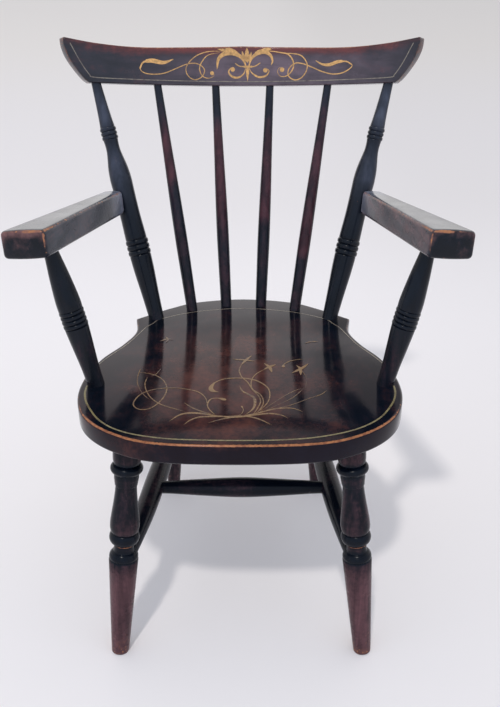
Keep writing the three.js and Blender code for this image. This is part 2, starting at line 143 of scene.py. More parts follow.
ARM_POST = (
    (0, 9.2, "k"), (0.14, 9.8), (0.28, 11.4), (0.4, 12.7), (0.428, 12.9, "k"),
) + rings(0.43, 0.555, 4, 13.5, 12.2) + (
    (0.557, 13.0, "k"), (0.6, 13.1), (0.66, 12.6), (0.8, 10.6), (0.92, 8.4), (1, 7.2, "k"),
)
BACK_POST = (
    (0, 9.4, "k"), (0.1, 10.8), (0.2, 12.6), (0.255, 13.2), (0.275, 13.3, "k"),
) + rings(0.277, 0.345, 3, 14.2, 12.8) + (
    (0.347, 13.2, "k"), (0.38, 13.0), (0.45, 12.5), (0.54, 12.8), (0.6, 13.2), (0.65, 12.1),
    (0.7, 9.5), (0.728, 8.4), (0.755, 8.5), (0.766, 8.9, "k"),
) + rings(0.768, 0.82, 3, 9.9, 8.7) + (
    (0.822, 8.9, "k"), (0.85, 8.1), (0.9, 7.1), (1, 5.7, "k"),
)

# Where the red ground shows through the black paint: share of length, amount.
FRONT_LEG_RUB = ((0, 0.95), (0.3, 0.75), (0.455, 0.5), (0.466, -0.3), (0.5, -0.3), (0.52, 0.1),
                 (0.535, -0.3), (0.585, -0.3), (0.6, 0.3), (0.68, 0.15), (0.8, 0), (0.84, 0.1),
                 (0.86, -0.4), (0.9, -0.4), (0.92, 0.3), (1, 0.1))
REAR_LEG_RUB = ((0, 0.5), (0.4, 0.3), (1, 0.1))
POST_RUB = ((0, -0.2), (0.27, -0.4), (0.5, -0.3), (0.62, -0.2), (0.8, -0.5), (1, -0.4))
ARM_POST_RUB = ((0, 0.1), (0.3, 0), (0.5, -0.3), (0.7, -0.4), (1, -0.5))
SPINDLE_RUB = {
    "spindle_outer_left": (
        (0, -0.5), (0.3, -0.5), (0.52, -0.6), (0.62, 0.05), (0.8, 0.1), (0.86, -0.6), (1, -0.9)),
    "spindle_inner_left": (
        (0, -0.5), (0.3, -0.5), (0.42, 0.0), (0.8, 0.05), (0.88, -0.6), (1, -0.9)),
    "spindle_inner_right": (
        (0, -0.6), (0.36, -0.7), (0.4, 0.0), (0.8, 0.05), (0.84, -0.6), (1, -0.9)),
    "spindle_outer_right": (
        (0, -0.4), (0.22, -0.7), (0.27, 0.0), (0.55, 0.0), (0.8, -0.1), (0.9, -0.5), (1, -0.9)),
}
# More of it on the front of the spindles, less on their rear.
SPINDLE_FRONT_RUB = 0.75
STRETCHER_RUB = ((0, -0.2), (0.5, 0.05), (1, -0.2))
# Painted highlight: a pale sheen painted into the colour on the front of a turned piece, where the light
# shines on its varnish.
NO_PAINTED_HIGHLIGHT = ((0, 0), (1, 0))
POST_PAINTED_HIGHLIGHT = ((0, 0), (0.35, 0), (0.5, 0.05), (0.6, 0.32), (0.68, 0.36), (0.76, 0.1), (0.81, 0.2),
              (0.86, 0.55), (0.93, 0.5), (1, 0.15))
SPINDLE_PAINTED_HIGHLIGHT = ((0, 0.02), (0.4, 0.06), (0.8, 0.12), (1, 0.12))
# Rubbing of the front face and of the sides of the left and right arms.
ARM_FACE_RUB = {-1: 1.0, 1: 0.5}
ARM_SIDE_RUB = {-1: 0.15, 1: 0.5}
# Where the wood itself is bare or chipped.
FRONT_LEG_BARE = ((0, 0.5), (0.02, 0.42), (0.08, 0.34), (0.2, 0.2), (0.45, 0.22), (0.462, 0.0),
                  (0.528, 0.0), (0.532, 0.62), (0.538, 0.62), (0.541, 0.0), (0.585, 0.0), (0.62, 0.26),
                  (0.66, 0.15), (0.87, 0.0), (1, 0.1))
REAR_LEG_BARE = ((0, 0.6), (0.05, 0.35), (0.2, 0.2), (1, 0.1))
POST_BARE = ((0, 0.15), (0.25, 0.15), (0.31, 0.24), (0.35, 0.15), (0.56, 0.2), (0.79, 0.24), (1, 0.1))
SPINDLE_BARE = ((0, 0.15), (0.5, 0.2), (1, 0.1))
STRETCHER_BARE = ((0, 0.15), (0.5, 0.27), (1, 0.15))


def both_sides(half):
    """A stripe from its left half, which ends in the middle."""
    return half + tuple((-x, y) for x, y in half[-2::-1])


# Gilding on the seat: x from the middle and y from the front edge, millimetres,
# then the kind of stroke, its widest half width and how far it has faded.
SEAT_STROKES = (
    (((-12, 53), (-24, 55), (-39, 60), (-52, 61), (-62, 57), (-71, 45)), "leaf", 1.5, 0.15),
    (((-11, 53), (-28, 54), (-41, 53), (-50, 47), (-56, 38)), "leaf", 1.1, 0.2),
    (((1, 53), (-12, 51), (-22, 47), (-31, 42)), "leaf", 0.9, 0.35),
    (((-30, 57), (-12, 53.5), (4, 54), (16, 57)), "leaf", 1.5, 0.1),
    (((-5, 53), (14, 57), (31, 60), (43, 57), (50, 51)), "leaf", 1.3, 0.2),
    (((-19, 54), (4, 55), (19, 50), (33, 38)), "leaf", 1.1, 0.25),
    (((2, 55), (19, 61), (36, 69), (51, 71), (60, 68), (66, 63)), "leaf", 1.1, 0.25),
    (((-25, 57), (-39, 64), (-50, 72), (-59, 82)), "leaf", 0.9, 0.3),
    (((21, 63), (33, 78), (46, 94), (59, 107), (69, 113)), "hair", 0.45, 0.5),
    (((25, 64), (41, 78), (57, 93), (69, 112)), "hair", 0.45, 0.55),
    (((28, 66), (52, 76), (73, 90), (87, 99), (94, 108)), "hair", 0.45, 0.5),
    (((2, 75), (4, 67), (2, 59), (-3, 55)), "comma", 1.0, 0.2),
    (((-14, 87), (-23, 91), (-31, 89), (-34, 78), (-31, 67), (-24, 56)), "comma", 2.3, 0.15),
    (((-34, 78), (-37, 92), (-45, 104), (-57, 110), (-71, 113), (-85, 112), (-97, 108), (-107, 99),
      (-112, 85), (-111, 75), (-104, 68), (-94, 70), (-86, 81), (-81, 96), (-80, 112), (-85, 129),
      (-95, 141), (-105, 146), (-114, 148)), "hair", 0.65, 0.3),
    (((-57, 64), (-71, 71), (-84, 79), (-95, 92), (-102, 108), (-105, 123), (-104, 137)), "hair", 0.6, 0.3),
    (((-114, 157), (-115, 139), (-113, 122), (-107, 105), (-102, 96), (-97, 89)), "hair", 0.55, 0.45),
    (((-23, 104), (-30, 107), (-32, 114), (-28, 125), (-18, 133), (-6, 135), (7, 134), (19, 128),
      (29, 115), (32, 101), (30, 84), (23, 69), (16, 60)), "comma", 2.6, 0.15),
    (((-1, 118), (2, 107), (9, 99), (15, 92), (16, 78), (13, 67), (6, 57)), "leaf", 1.5, 0.3),
    (((0, 166), (-2, 153), (1, 138), (8, 125), (13, 110), (19, 98), (22, 85), (19, 71),
      (15, 60)), "hair", 0.65, 0.25),
    (((-11, 180), (2, 178), (16, 175)), "leaf", 1.5, 0.25),
    (((12, 189), (6, 179), (0, 166)), "leaf", 1.8, 0.25),
    (((27, 156), (17, 144), (12, 129), (13, 111), (22, 98), (25, 82), (21, 67),
      (17, 61)), "hair", 0.6, 0.25),
    (((40, 167), (33, 162), (26, 155)), "leaf", 1.9, 0.1),
    (((26, 170), (32, 161), (35, 148)), "leaf", 2.0, 0.1),
    (((48, 160), (49, 167), (56, 175), (66, 179), (73, 180)), "comma", 1.9, 0.2),
    (((77, 169), (69, 158), (57, 146)), "leaf", 2.0, 0.2),
    (((63, 165), (67, 157), (67, 142)), "leaf", 1.9, 0.2),
    (((68, 154), (73, 135), (71, 112)), "hair", 0.4, 0.6),
    (((75, 220), (83, 225), (92, 225)), "leaf", 1.2, 0.5),
    (((-91, 157), (-95, 144), (-100, 139)), "hair", 0.5, 0.55),
    (((-99, 226), (-91, 232), (-83, 230)), "leaf", 1.6, 0.6),
    (((-94, 239), (-90, 231), (-92, 222)), "leaf", 1.3, 0.65),
)
SEAT_STRIPE = ((-168, 118), (-167, 100), (-160, 77), (-142, 46), (-116, 25.5), (-78, 14), (-40, 10.5),
               (0, 9.5), (40, 10.5), (78, 15.5), (116, 29), (143, 50), (160, 78), (167, 100), (168, 118))
SEAT_BACK_STRIPE = both_sides((
    (-170, 128), (-169, 148), (-158.5, 179), (-138.5, 217), (-127.5, 246), (-121, 264), (-113, 277),
    (-104, 290), (-69, 309), (-30, 319), (0, 322)))
# Gilding on the crest: length along the bend from the middle, height above the
# lower edge.
CREST_STROKES = (
    (((4.2, 22.4), (1.9, 29), (-3.3, 35.1), (-12, 38.8), (-22.4, 38), (-30, 31.4),
      (-31.9, 19.7)), "claw", 2.9, 0.05),
    (((-10, 20), (-14, 21.3), (-17.4, 16.5), (-13.4, 11.2), (-6.1, 9.7), (1, 14),
      (3.8, 20.7)), "scroll", 1.3, 0.05),
    (((-9.5, 26.8), (-4.2, 23.5), (3.8, 22.7)), "hair", 0.65, 0.15),
    (((-25, 41), (-42.4, 40.3), (-56.4, 35.7), (-66.6, 27.3), (-70.6, 18.9), (-67.6, 11), (-60, 6.9),
      (-51.5, 9.9), (-47.4, 17.6), (-51.7, 23.7), (-60.3, 26.4), (-71.3, 24.5), (-84.5, 19),
      (-98.5, 13.7), (-113.3, 12.4), (-123.7, 14.4), (-127.5, 19.8), (-123.3, 25.8)), "hair", 0.55, 0.2),
    (((-127.3, 18.7), (-123.3, 25.8), (-112.8, 28.2), (-98.2, 26.4), (-86, 30.5)), "blade", 2.6, 0.05),
    (((-36.5, 15.5), (-36.2, 11.5), (-42.8, 8.8), (-49.8, 11.2), (-53.5, 18.7), (-51.6, 26.5),
      (-43.3, 35.9), (-28.5, 39.3)), "scroll", 0.7, 0.15),
    (((5.9, 27.3), (5.3, 45.2)), "leaf", 2.6, 0.1),
    (((5.2, 28.2), (1.6, 34), (-0.7, 41.1)), "leaf", 1.8, 0.1),
    (((6.3, 28.2), (9, 34), (11, 40.4)), "leaf", 1.8, 0.1),
    (((1.4, 22.7), (11.8, 22.7)), "bar", 1.2, 0.05),
    (((6.1, 21.5), (6.2, 4.5)), "drop", 2.0, 0.05),
    (((-1.6, 34.5), (-11.1, 41.1), (-21.5, 42), (-31.6, 43.6)), "leaf", 2.2, 0.1),
    (((-6, 39.2), (-14, 43), (-22, 44.4)), "leaf", 1.5, 0.12),
    (((7.5, 22.4), (10.4, 31.2), (17.3, 37.8), (26.8, 40), (34.1, 36.6), (37.3, 30),
      (35.5, 24.4)), "claw", 2.3, 0.05),
    (((28.6, 18.6), (31.6, 19.4), (32.7, 16.4), (28.2, 11.4), (19.4, 10.5), (11.4, 15.5),
      (7.9, 21.2)), "scroll", 1.2, 0.05),
    (((7.2, 22.7), (15.1, 23.2), (22.1, 27.3)), "hair", 0.65, 0.15),
    (((52, 20), (46, 21.3), (43.6, 16), (47.9, 10.9), (56.3, 12.2), (62.9, 20.2), (62.8, 29),
      (57, 36.7), (47.3, 39.1), (31.6, 41), (16, 38.4)), "scroll", 0.8, 0.1),
    (((49.1, 38.4), (63.9, 37.5), (73.9, 34.4), (80.3, 25.3), (79, 15.8), (72.4, 8.4), (64.2, 6.7),
      (57.1, 11.8), (58, 20.3), (65.8, 26.3), (75.4, 25.4), (86.3, 21.3), (98.7, 16), (112.4, 12.6),
      (125, 13.8), (135, 19.3), (136, 23.3), (129.9, 26.9)), "hair", 0.65, 0.15),
    (((136, 22.8), (129.6, 26.6), (119.1, 26.8), (108.7, 23.7), (99.9, 24.2),
      (91.1, 28.7)), "blade", 2.0, 0.05),
    (((12.5, 34.5), (18.6, 40), (28.1, 42), (36, 43)), "leaf", 2.0, 0.1),
    (((20, 40.5), (28, 43.6), (36, 44.2)), "leaf", 1.3, 0.12),
)
CREST_DOTS = ((-12.4, 19.4, 2.8), (-38.2, 14.8, 2.4), (28.4, 18.4, 2.8), (49.2, 18.8, 2.8))
CREST_STRIPE = both_sides((
    (-212, 44), (-200, 23), (-190, 9.5), (-184, 6.5), (-144, 5.8), (-70, 5.2), (0, 5)))


def length_setting(name, description, default):
    return bpy.props.FloatProperty(name=name, description=description, default=default, unit="LENGTH")


def place_setting(name, description, default):
    return bpy.props.FloatVectorProperty(
        name=name, description=description, default=default, size=len(default), unit="LENGTH")


def angle_setting(name, description, default):
    return bpy.props.FloatProperty(name=name, description=description, default=default, subtype="ANGLE")


def share_setting(name, description, default):
    return bpy.props.FloatProperty(
        name=name, description=description, default=default, subtype="FACTOR", min=0, max=1)


def colour_setting(name, description, default):
    return bpy.props.FloatVectorProperty(
        name=name, description=description, default=(*default, 1), subtype="COLOR", size=4, min=0, max=1)


class ChairSizes(bpy.types.PropertyGroup):
    """Sizes of the chair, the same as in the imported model."""

    seat_width: length_setting("Seat width", "Widest part of the seat plank", 0.350)
    seat_depth: length_setting("Seat depth", "Front edge to the middle of the back", 0.354)
    seat_thickness: length_setting("Seat thickness", "Thickness of the plank", 0.024)
    seat_top: length_setting("Seat height", "Floor to the top of the seat", 0.285)
    seat_round: length_setting("Seat edge", "Rounding of the seat's edges", 0.0032)
    back_lean: angle_setting("Back lean", "Lean of the back from the upright", math.radians(14.7))
    back_rise: length_setting("Back rise", "Seat to the crest's lower edge", 0.267)
    back_foot: share_setting("Back foot", "Share of the seat's depth at which the back stands", 0.953)
    crest_radius: length_setting("Crest bend", "Radius the crest is bent to", 0.403)
    crest_thickness: length_setting("Crest thickness", "Thickness of the crest board", 0.015)
    crest_round: length_setting("Crest edge", "Rounding of the crest's edges", 0.0024)
    arm_thickness: length_setting("Arm thickness", "Thickness of the arm boards", 0.0275)
    arm_tilt: angle_setting(
        "Arm tilt", "Tilt of the arms about their length, outer edge down", math.radians(6))
    arm_round: length_setting("Arm edge", "Rounding of the arms' long edges", 0.0042)
    arm_crown: length_setting("Arm crown", "Rise of the arms' faces between their edges", 0.001)
    arm_front_width: length_setting("Arm front width", "Width at the front end", 0.0475)
    arm_rear_width: length_setting("Arm rear width", "Width at the back post", 0.024)
    arm_front: place_setting(
        "Arm front end", "Middle of the right arm's front end, from the seat's front edge",
        (0.2079, 0.086, 0.4595))
    arm_rear_offset: place_setting(
        "Arm rear end", "Middle of the rear end, outwards, back and up from the post's axis",
        (0.0125, -0.008, 0.0035))
    arm_joint: share_setting("Arm joint", "Share of the back post's length at which the arm meets it", 0.503)
    arm_post_share: share_setting("Arm post place", "Share of the arm's length from its front", 0.22)
    front_foot: place_setting("Front foot", "Place of the right front foot on the floor", (0.1375, 0.0125))
    rear_foot: place_setting("Rear foot", "Place of the right rear foot on the floor", (0.104, 0.322))
    stretcher_heights: place_setting(
        "Stretcher heights", "Heights of the side stretchers on front and rear legs", (0.126, 0.130))
    stretcher_insets: place_setting(
        "Stretcher insets", "Shifts of the side stretchers inwards from front and rear leg axes",
        (0.007, 0.004))
    cross_share: share_setting("Cross stretcher place", "Share of the side stretcher's length", 0.43)


class ChairColours(bpy.types.PropertyGroup):
    """Colours of the paint, the gilding and the stage."""

    black: colour_setting("Black paint", "Upper coat", (0.0036, 0.0062, 0.0120))
    # Painted highlight: the blue colour is a sheen painted onto the front of the posts and spindles, where
    # the light shines on them.
    painted_blue_highlight: colour_setting("Painted blue highlight", "Bloom in the varnish of the turned pieces", (0.100, 0.113, 0.160))
    # Haze and painted sheen: the pale colour of the arms is partly a real haze and partly light on their
    # varnish, painted in.
    pale_haze_and_sheen: colour_setting("Pale haze and sheen", "Bloom in the varnish of the arms", (0.205, 0.222, 0.280))
    # Painted highlight: the pink colour of the crest is a sheen painted in where the light shines on its
    # middle.
    painted_pink_highlight: colour_setting("Painted pink highlight", "Bloom in the varnish of the crest", (0.142, 0.100, 0.122))
    red: colour_setting("Red ground", "Purple-brown coat of legs and stretchers", (0.112, 0.050, 0.057))
    dark_red: colour_setting(
        "Dark red ground", "Red coat of the back posts, spindles and arm posts", (0.082, 0.029, 0.037))
    arm_red: colour_setting("Arm red", "Red-brown coat of the arms", (0.180, 0.086, 0.082))
    crest_red: colour_setting("Crest red", "Dark red coat along the top of the crest", (0.145, 0.030, 0.026))
    warm_red: colour_setting("Warm red ground", "Red-brown coat of the seat", (0.110, 0.034, 0.024))
    wood: colour_setting("Bare wood", "Wood where the paint is worn away", (0.40, 0.165, 0.072))
    gilt: colour_setting("Gilding", "Bronze gold of the scrolls", (0.78, 0.43, 0.145))
    old_gilt: colour_setting("Aged gilding", "Darkened gold on the seat", (0.29, 0.165, 0.066))
    stripe: colour_setting("Stripe", "Olive gold of the seat's stripe", (0.27, 0.225, 0.105))
    thin_stripe: colour_setting("Thin stripe", "Pale gold of the fine stripes", (0.30, 0.255, 0.20))
    floor: colour_setting("Floor", "Pale studio floor", (0.918, 0.880, 0.876))
    # Painted shade: the floor behind and far behind the chair is darker, and the floor shade darkens it at
    # the right, standing in for light that falls off there.
    floor_shaded_behind: colour_setting("Floor behind", "Studio floor behind the chair", (0.835, 0.796, 0.785))
    floor_shaded_far: colour_setting("Far floor", "Studio floor far behind the chair", (0.842, 0.792, 0.745))
    floor_shade: colour_setting("Floor shade", "Grey that tones the floor down at the right", (0.1, 0.1, 0.1))


def sizes():
    return bpy.context.scene.chair_sizes


def colours():
    return bpy.context.scene.chair_colours


# Places


def mirrored(point, sign):
    return Vector((sign * point.x, point.y, point.z))


def seat_point(share, height):
    s = sizes()
    return Vector((share[0] * s.seat_width / 2, SEAT_FRONT + share[1] * s.seat_depth, height))


def crest_point(along, height, depth):
    """A point of the bent crest: length along the bend, height, depth from the front."""
    s = sizes()
    angle = along / s.crest_radius
    radius = s.crest_radius + depth
    out = radius * math.cos(angle) - s.crest_radius
    lean = s.back_lean
    y = SEAT_FRONT + s.back_foot * s.seat_depth + s.back_rise * math.tan(lean)
    return Vector((
        radius * math.sin(angle),
        y + out * math.cos(lean) + height * math.sin(lean),
        s.seat_top + s.back_rise - out * math.sin(lean) + height * math.cos(lean)))


def back_line(kind, sign):
    """Foot and head of a back post or spindle."""
    s = sizes()
    foot = mirrored(seat_point(SPOTS[kind], s.seat_top), sign)
    head = mirrored(crest_point(CREST_ARCS[kind], 0, s.crest_thickness / 2), sign)
    return foot, head


def leg_line(kind, sign):
    s = sizes()
    x, y = s.front_foot if kind == "front_leg" else s.rear_foot
    foot = Vector((sign * x, SEAT_FRONT + y, 0))
    return foot, mirrored(seat_point(SPOTS[kind], s.seat_top - s.seat_thickness), sign)


def arm_line(sign):
    """Middle of the arm's front end and of its end beside the back post."""
    s = sizes()
    x, y, z = s.arm_front
    foot, head = back_line("back_post", sign)
    rear = foot.lerp(head, s.arm_joint) + mirrored(Vector(s.arm_rear_offset), sign)
    return Vector((sign * x, SEAT_FRONT + y, z)), rear


def arm_post_line(sign):
    s = sizes()
    front, rear = arm_line(sign)
    run = rear - front
    head = front + run * s.arm_post_share
    head.z -= s.arm_thickness / 2 * math.hypot(1, run.z / math.hypot(run.x, run.y))
    return mirrored(seat_point(SPOTS["arm_post"], s.seat_top), sign), head


def side_stretcher_line(sign):
    s = sizes()
    ends = []
    for kind, height, inset in zip(("front_leg", "rear_leg"), s.stretcher_heights, s.stretcher_insets):
        foot, head = leg_line(kind, sign)
        end = foot.lerp(head, height / (s.seat_top - s.seat_thickness))
        end.x -= sign * inset
        ends.append(end)
    return ends


# Curves


def spline(points, steps):
    """Points of a smooth curve through the given points, with its ends kept."""
    points = [Vector(p) for p in points]
    if len(points) == 2:
        return [points[0].lerp(points[1], i / steps) for i in range(steps + 1)]
    padded = [2 * points[0] - points[1]] + points + [2 * points[-1] - points[-2]]
    curve = []
    for a, b, c, d in zip(padded, padded[1:], padded[2:], padded[3:]):
        for i in range(steps):
            t = i / steps
            curve.append(0.5 * (2 * b + (c - a) * t + (2 * a - 5 * b + 4 * c - d) * t * t
                                + (3 * b - a - 3 * c + d) * t ** 3))
    curve.append(points[-1])
    return curve


def along_stations(stations, share):
    """Value at a share of the length, straight between stations."""
    if share <= stations[0][0]:
        return stations[0][1]
    for (a, va), (b, vb) in zip(stations, stations[1:]):
        if share <= b:
            return va + (vb - va) * (share - a) / (b - a)
    return stations[-1][1]


def curve_value(pairs, place):
    """Value of a smooth curve through pairs of a place and a value."""
    i = 0
    while i + 2 < len(pairs) and place > pairs[i + 1][0]:
        i += 1
    before, after = pairs[max(i - 1, 0)], pairs[min(i + 2, len(pairs) - 1)]
    (x0, y0), (x1, y1) = pairs[i], pairs[i + 1]
    run = x1 - x0
    t = min(max((place - x0) / run, 0), 1)
    slope0 = (y1 - before[1]) / (x1 - before[0]) * run
    slope1 = (after[1] - y0) / (after[0] - x0) * run
    return ((2 * t ** 3 - 3 * t ** 2 + 1) * y0 + (t ** 3 - 2 * t ** 2 + t) * slope0
            + (3 * t ** 2 - 2 * t ** 3) * y1 + (t ** 3 - t ** 2) * slope1)


def turned_outline(stations, steps=4):
    """Share and radius pairs: smooth runs between the sharp corners."""
    runs = [[]]
    for station in stations:
        point = (station[0], station[1] * MM)
        runs[-1].append(point)
        if len(station) == 3 and len(runs[-1]) > 1:
            runs.append([point])
    outline = []
    for run in runs:
        if len(run) > 1:
            outline += [tuple(p) for p in spline(run, steps if len(run) > 2 else 1)][:-1]
    last = stations[-1]
    return outline + [(last[0], last[1] * MM)]


def step_between(value, low, high):
    t = min(max((value - low) / (high - low), 0), 1)
    return t * t * (3 - 2 * t)


# Meshes


def finish_piece(bm, name, material, nodes=(), smooth_angle=50):
    """Makes the bmesh an object that rides on the chair and stands for its nodes, if it has any."""
    mesh = bpy.data.meshes.new(name)
    bm.to_mesh(mesh)
    bm.free()
    mesh.shade_smooth()
    mesh.set_sharp_from_angle(angle=math.radians(smooth_angle))
    piece = bpy.data.objects.new(name, mesh)
    bpy.context.scene.collection.objects.link(piece)
    mesh.materials.append(material)
    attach(piece, "root")
    if nodes:
        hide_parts(*nodes)


def wear_layers(bm):
    """Amounts on each vertex: paint rubbed thin, wood bare, haze in the varnish and painted sheen."""
    keys = ("rub", "bare", "haze_and_sheen")
    for key in keys:
        bm.verts.layers.float.new(key)
    return [bm.verts.layers.float[key] for key in keys]


def turn(name, line, stations, rub, bare, haze_and_sheen, material, steps=48, tenons=(TENON, TENON), floor=False,
         front_rub=0.0):
    """Spins a turned outline and sets it on the line from foot to head."""
    foot, head = line
    axis = head - foot
    length = axis.length
    outline = [(share * length, radius) for share, radius in turned_outline(stations)]
    outline = [(-tenons[0], outline[0][1])] + outline + [(length + tenons[1], outline[-1][1])]
    bm = bmesh.new()
    rub_layer, bare_layer, haze_sheen_layer = wear_layers(bm)
    ends = [(outline[0][0], 0)] + outline + [(outline[-1][0], 0)]
    verts = [bm.verts.new((radius, 0, height)) for height, radius in ends]
    edges = [bm.edges.new(pair) for pair in zip(verts, verts[1:])]
    bmesh.ops.spin(bm, geom=verts + edges, cent=(0, 0, 0), axis=(0, 0, 1), angle=math.tau, steps=steps,
                   use_merge=True)
    bmesh.ops.remove_doubles(bm, verts=bm.verts[:], dist=MERGE)
    for vert in bm.verts:
        share = vert.co.z / length
        facing = -vert.co.y / max(math.hypot(vert.co.x, vert.co.y), 0.1 * MM)
        vert[rub_layer] = along_stations(rub, share) + front_rub * facing
        vert[bare_layer] = along_stations(bare, share)
        # Painted highlight: lighter only on the side that faces the front, where the light falls.
        vert[haze_sheen_layer] = along_stations(haze_and_sheen, share) * max(facing, 0)
    place = Vector((0, 0, 1)).rotation_difference(axis).to_matrix().to_4x4()
    place.translation = foot
    bmesh.ops.transform(bm, matrix=place, verts=bm.verts[:])
    if floor:
        cut = bmesh.ops.bisect_plane(bm, geom=bm.verts[:] + bm.edges[:] + bm.faces[:], plane_co=(0, 0, 0),
                                     plane_no=(0, 0, -1), clear_outer=True)
        rim = [e for e in cut["geom_cut"] if isinstance(e, bmesh.types.BMEdge)]
        bmesh.ops.holes_fill(bm, edges=rim, sides=0)
    bmesh.ops.recalc_face_normals(bm, faces=bm.faces[:])
    finish_piece(bm, name, material, [name])


def seat_outline():
    """Closed plan of the seat, anticlockwise from above."""
    s = sizes()
    side = [Vector((x * s.seat_width / 2, y * s.seat_depth)) for x, y in SEAT_SIDE]
    rear = [Vector((x * s.seat_width / 2, y * s.seat_depth)) for x, y in SEAT_REAR]
    flip = lambda p: Vector((-p.x, p.y))
    front = spline([flip(p) for p in side[:0:-1]] + side, 10)
    back = spline(rear + [flip(p) for p in rear[-2::-1]], 12)
    return front + back[1:-1]


def make_seat(material):
    """Plank cut to its plan, with its edges rounded and worn, most in front."""
    s = sizes()
    bm = bmesh.new()
    rub_layer, bare_layer, _ = wear_layers(bm)
    bottom = s.seat_top - s.seat_thickness
    plan = bm.faces.new([bm.verts.new((p.x, SEAT_FRONT + p.y, bottom)) for p in seat_outline()])
    raised = bmesh.ops.extrude_face_region(bm, geom=[plan])
    lifted = [v for v in raised["geom"] if isinstance(v, bmesh.types.BMVert)]
    bmesh.ops.translate(bm, vec=(0, 0, s.seat_thickness), verts=lifted)
    level = [e for e in bm.edges if abs(e.verts[0].co.z - e.verts[1].co.z) < MERGE]
    rim = [e for e in level if e.calc_face_angle() > SHARP_EDGE]
    bmesh.ops.bevel(bm, geom=rim, offset=s.seat_round, segments=5, profile=0.5, affect="EDGES", material=-1)
    bmesh.ops.remove_doubles(bm, verts=bm.verts[:], dist=MERGE)
    bmesh.ops.recalc_face_normals(bm, faces=bm.faces[:])
    for vert in bm.verts:
        depth = (s.seat_top - vert.co.z) / s.seat_round
        front = 1 - step_between(vert.co.y - SEAT_FRONT, 0.02, 0.09)
        worn = step_between(depth, 0.01, 0.08) * (1 - step_between(depth, 0.3, 0.7))
        vert[bare_layer] = worn * (0.42 + 0.56 * front)
        edge_rub = -0.35 + 0.45 * step_between(-vert.co.x, -0.03, 0.13)
        vert[rub_layer] = -0.08 if depth < 0.02 else edge_rub
    finish_piece(bm, "seat", material, ["seat"], 40)


def make_crest(material):
    """Flat board with a waved top and curved ends, edges rounded, then bent and leaned back."""
    s = sizes()
    top = lambda share: curve_value(CREST_TOP, abs(share)) * MM
    end = lambda height: curve_value(CREST_END, height / MM) * MM
    bm = bmesh.new()
    rub_layer, bare_layer, haze_sheen_layer = wear_layers(bm)
    bmesh.ops.create_grid(bm, x_segments=130, y_segments=14, size=1)
    for vert in bm.verts:
        height = top(vert.co.x) * (vert.co.y + 1) / 2
        vert.co = (vert.co.x * end(height), 0, height)
    bmesh.ops.recalc_face_normals(bm, faces=bm.faces[:])
    sheet = bmesh.ops.extrude_face_region(bm, geom=bm.faces[:])
    moved = [v for v in sheet["geom"] if isinstance(v, bmesh.types.BMVert)]
    bmesh.ops.translate(bm, vec=(0, s.crest_thickness, 0), verts=moved)
    bmesh.ops.recalc_face_normals(bm, faces=bm.faces[:])
    rim = [e for e in bm.edges if e.calc_face_angle() > SHARP_EDGE]
    bmesh.ops.bevel(bm, geom=rim, offset=s.crest_round, segments=4, profile=0.5, affect="EDGES", material=-1,
                    clamp_overlap=True)
    bmesh.ops.remove_doubles(bm, verts=bm.verts[:], dist=MERGE)
    bmesh.ops.recalc_face_normals(bm, faces=bm.faces[:])
    for vert in bm.verts:
        along, depth, height = vert.co.x, vert.co.y, vert.co.z
        share = max(-1, min(1, along / end(height)))
        drop = top(share) - height
        from_end = end(height) - abs(along)
        middle = 1 - step_between(abs(share), 0.5, 1.0)
        band = 1 - step_between(drop, 0, 15 * MM)
        vert[rub_layer] = band * (0.6 + 0.75 * middle) - 0.2
        at_top = 1 - step_between(abs(drop - 0.5 * MM), 0, 2.4 * MM)
        at_end = 1 - step_between(from_end, 0, 3 * MM)
        vert[bare_layer] = 0.1 + max((0.28 + 0.2 * middle) * at_top, 0.3 * at_end)
        # Painted highlight: a pale sheen painted across the middle of the crest, where the light shines, less
        # in the red band.
        vert[haze_sheen_layer] = (0.08 + 0.82 * math.exp(-((along - 0.045) / 0.12) ** 2)) * (1 - 0.8 * band)
        vert.co = crest_point(along, height, depth)
    finish_piece(bm, "crest_rail", material, ["crest_rail"], 50)


def rounded_ring(half_width, half_height, radius, crown):
    """Points of a crowned rectangle with round corners, anticlockwise."""
    points = []
    flat = half_width - radius
    for corner, (sx, sy) in enumerate(((1, 1), (-1, 1), (-1, -1), (1, -1))):
        for k in range(6):
            angle = (corner + k / 5) * math.pi / 2
            points.append((sx * flat + radius * math.cos(angle),
                           sy * (half_height - radius) + radius * math.sin(angle)))
        if corner % 2 == 0:
            points += [(sx * flat * (1 - k / 4), sy * half_height) for k in range(1, 8)]
    return [(x, y + math.copysign(crown * max(0, 1 - (x / half_width) ** 2), y)) for x, y in points]


def wear_arm(bm, layers, sign, length, half_width):
    """Wear of an arm that still lies along x: bare edges, rubbed sides and front, haze and painted sheen on
    the top and sides, most at the rear end.
    """
    rub_layer, bare_layer, haze_sheen_layer = layers
    half_height = sizes().arm_thickness / 2
    for vert in bm.verts:
        x, y, z = vert.co
        side_gap = half_width(x) - abs(y)
        gaps = sorted((side_gap, half_height - abs(z), max(x, 0), length - x))
        edge = 1 - step_between(gaps[1], 0.3 * MM, 3.6 * MM)
        inner = 1 if y * sign > 0 else 0
        upper = step_between(z, 0, 8 * MM)
        near_front = 1 - step_between(x, 6 * MM, 40 * MM)
        amount = 0.16 + 0.38 * upper * inner + 0.26 * upper * near_front + 0.22 * near_front * inner
        vert[bare_layer] = edge * amount + 0.08
        face = 1 - step_between(x, 0.5 * MM, 4 * MM)
        on_face = ARM_FACE_RUB[sign] * step_between(z, 3 * MM, 11 * MM)
        on_side = ARM_SIDE_RUB[sign] * (1 - step_between(side_gap, 1 * MM, 4 * MM))
        vert[rub_layer] = face * on_face + (1 - face) * (on_side + 0.35 * edge) - 0.2
        # Haze and painted sheen: paler on the top and sides, most at the rear end where the post shades it
        # and shows in its polish; none on the front face, which gets less light.
        vert[haze_sheen_layer] = (1 - face) * (0.17 + 0.9 * step_between(x, length - 60 * MM, length - 8 * MM))


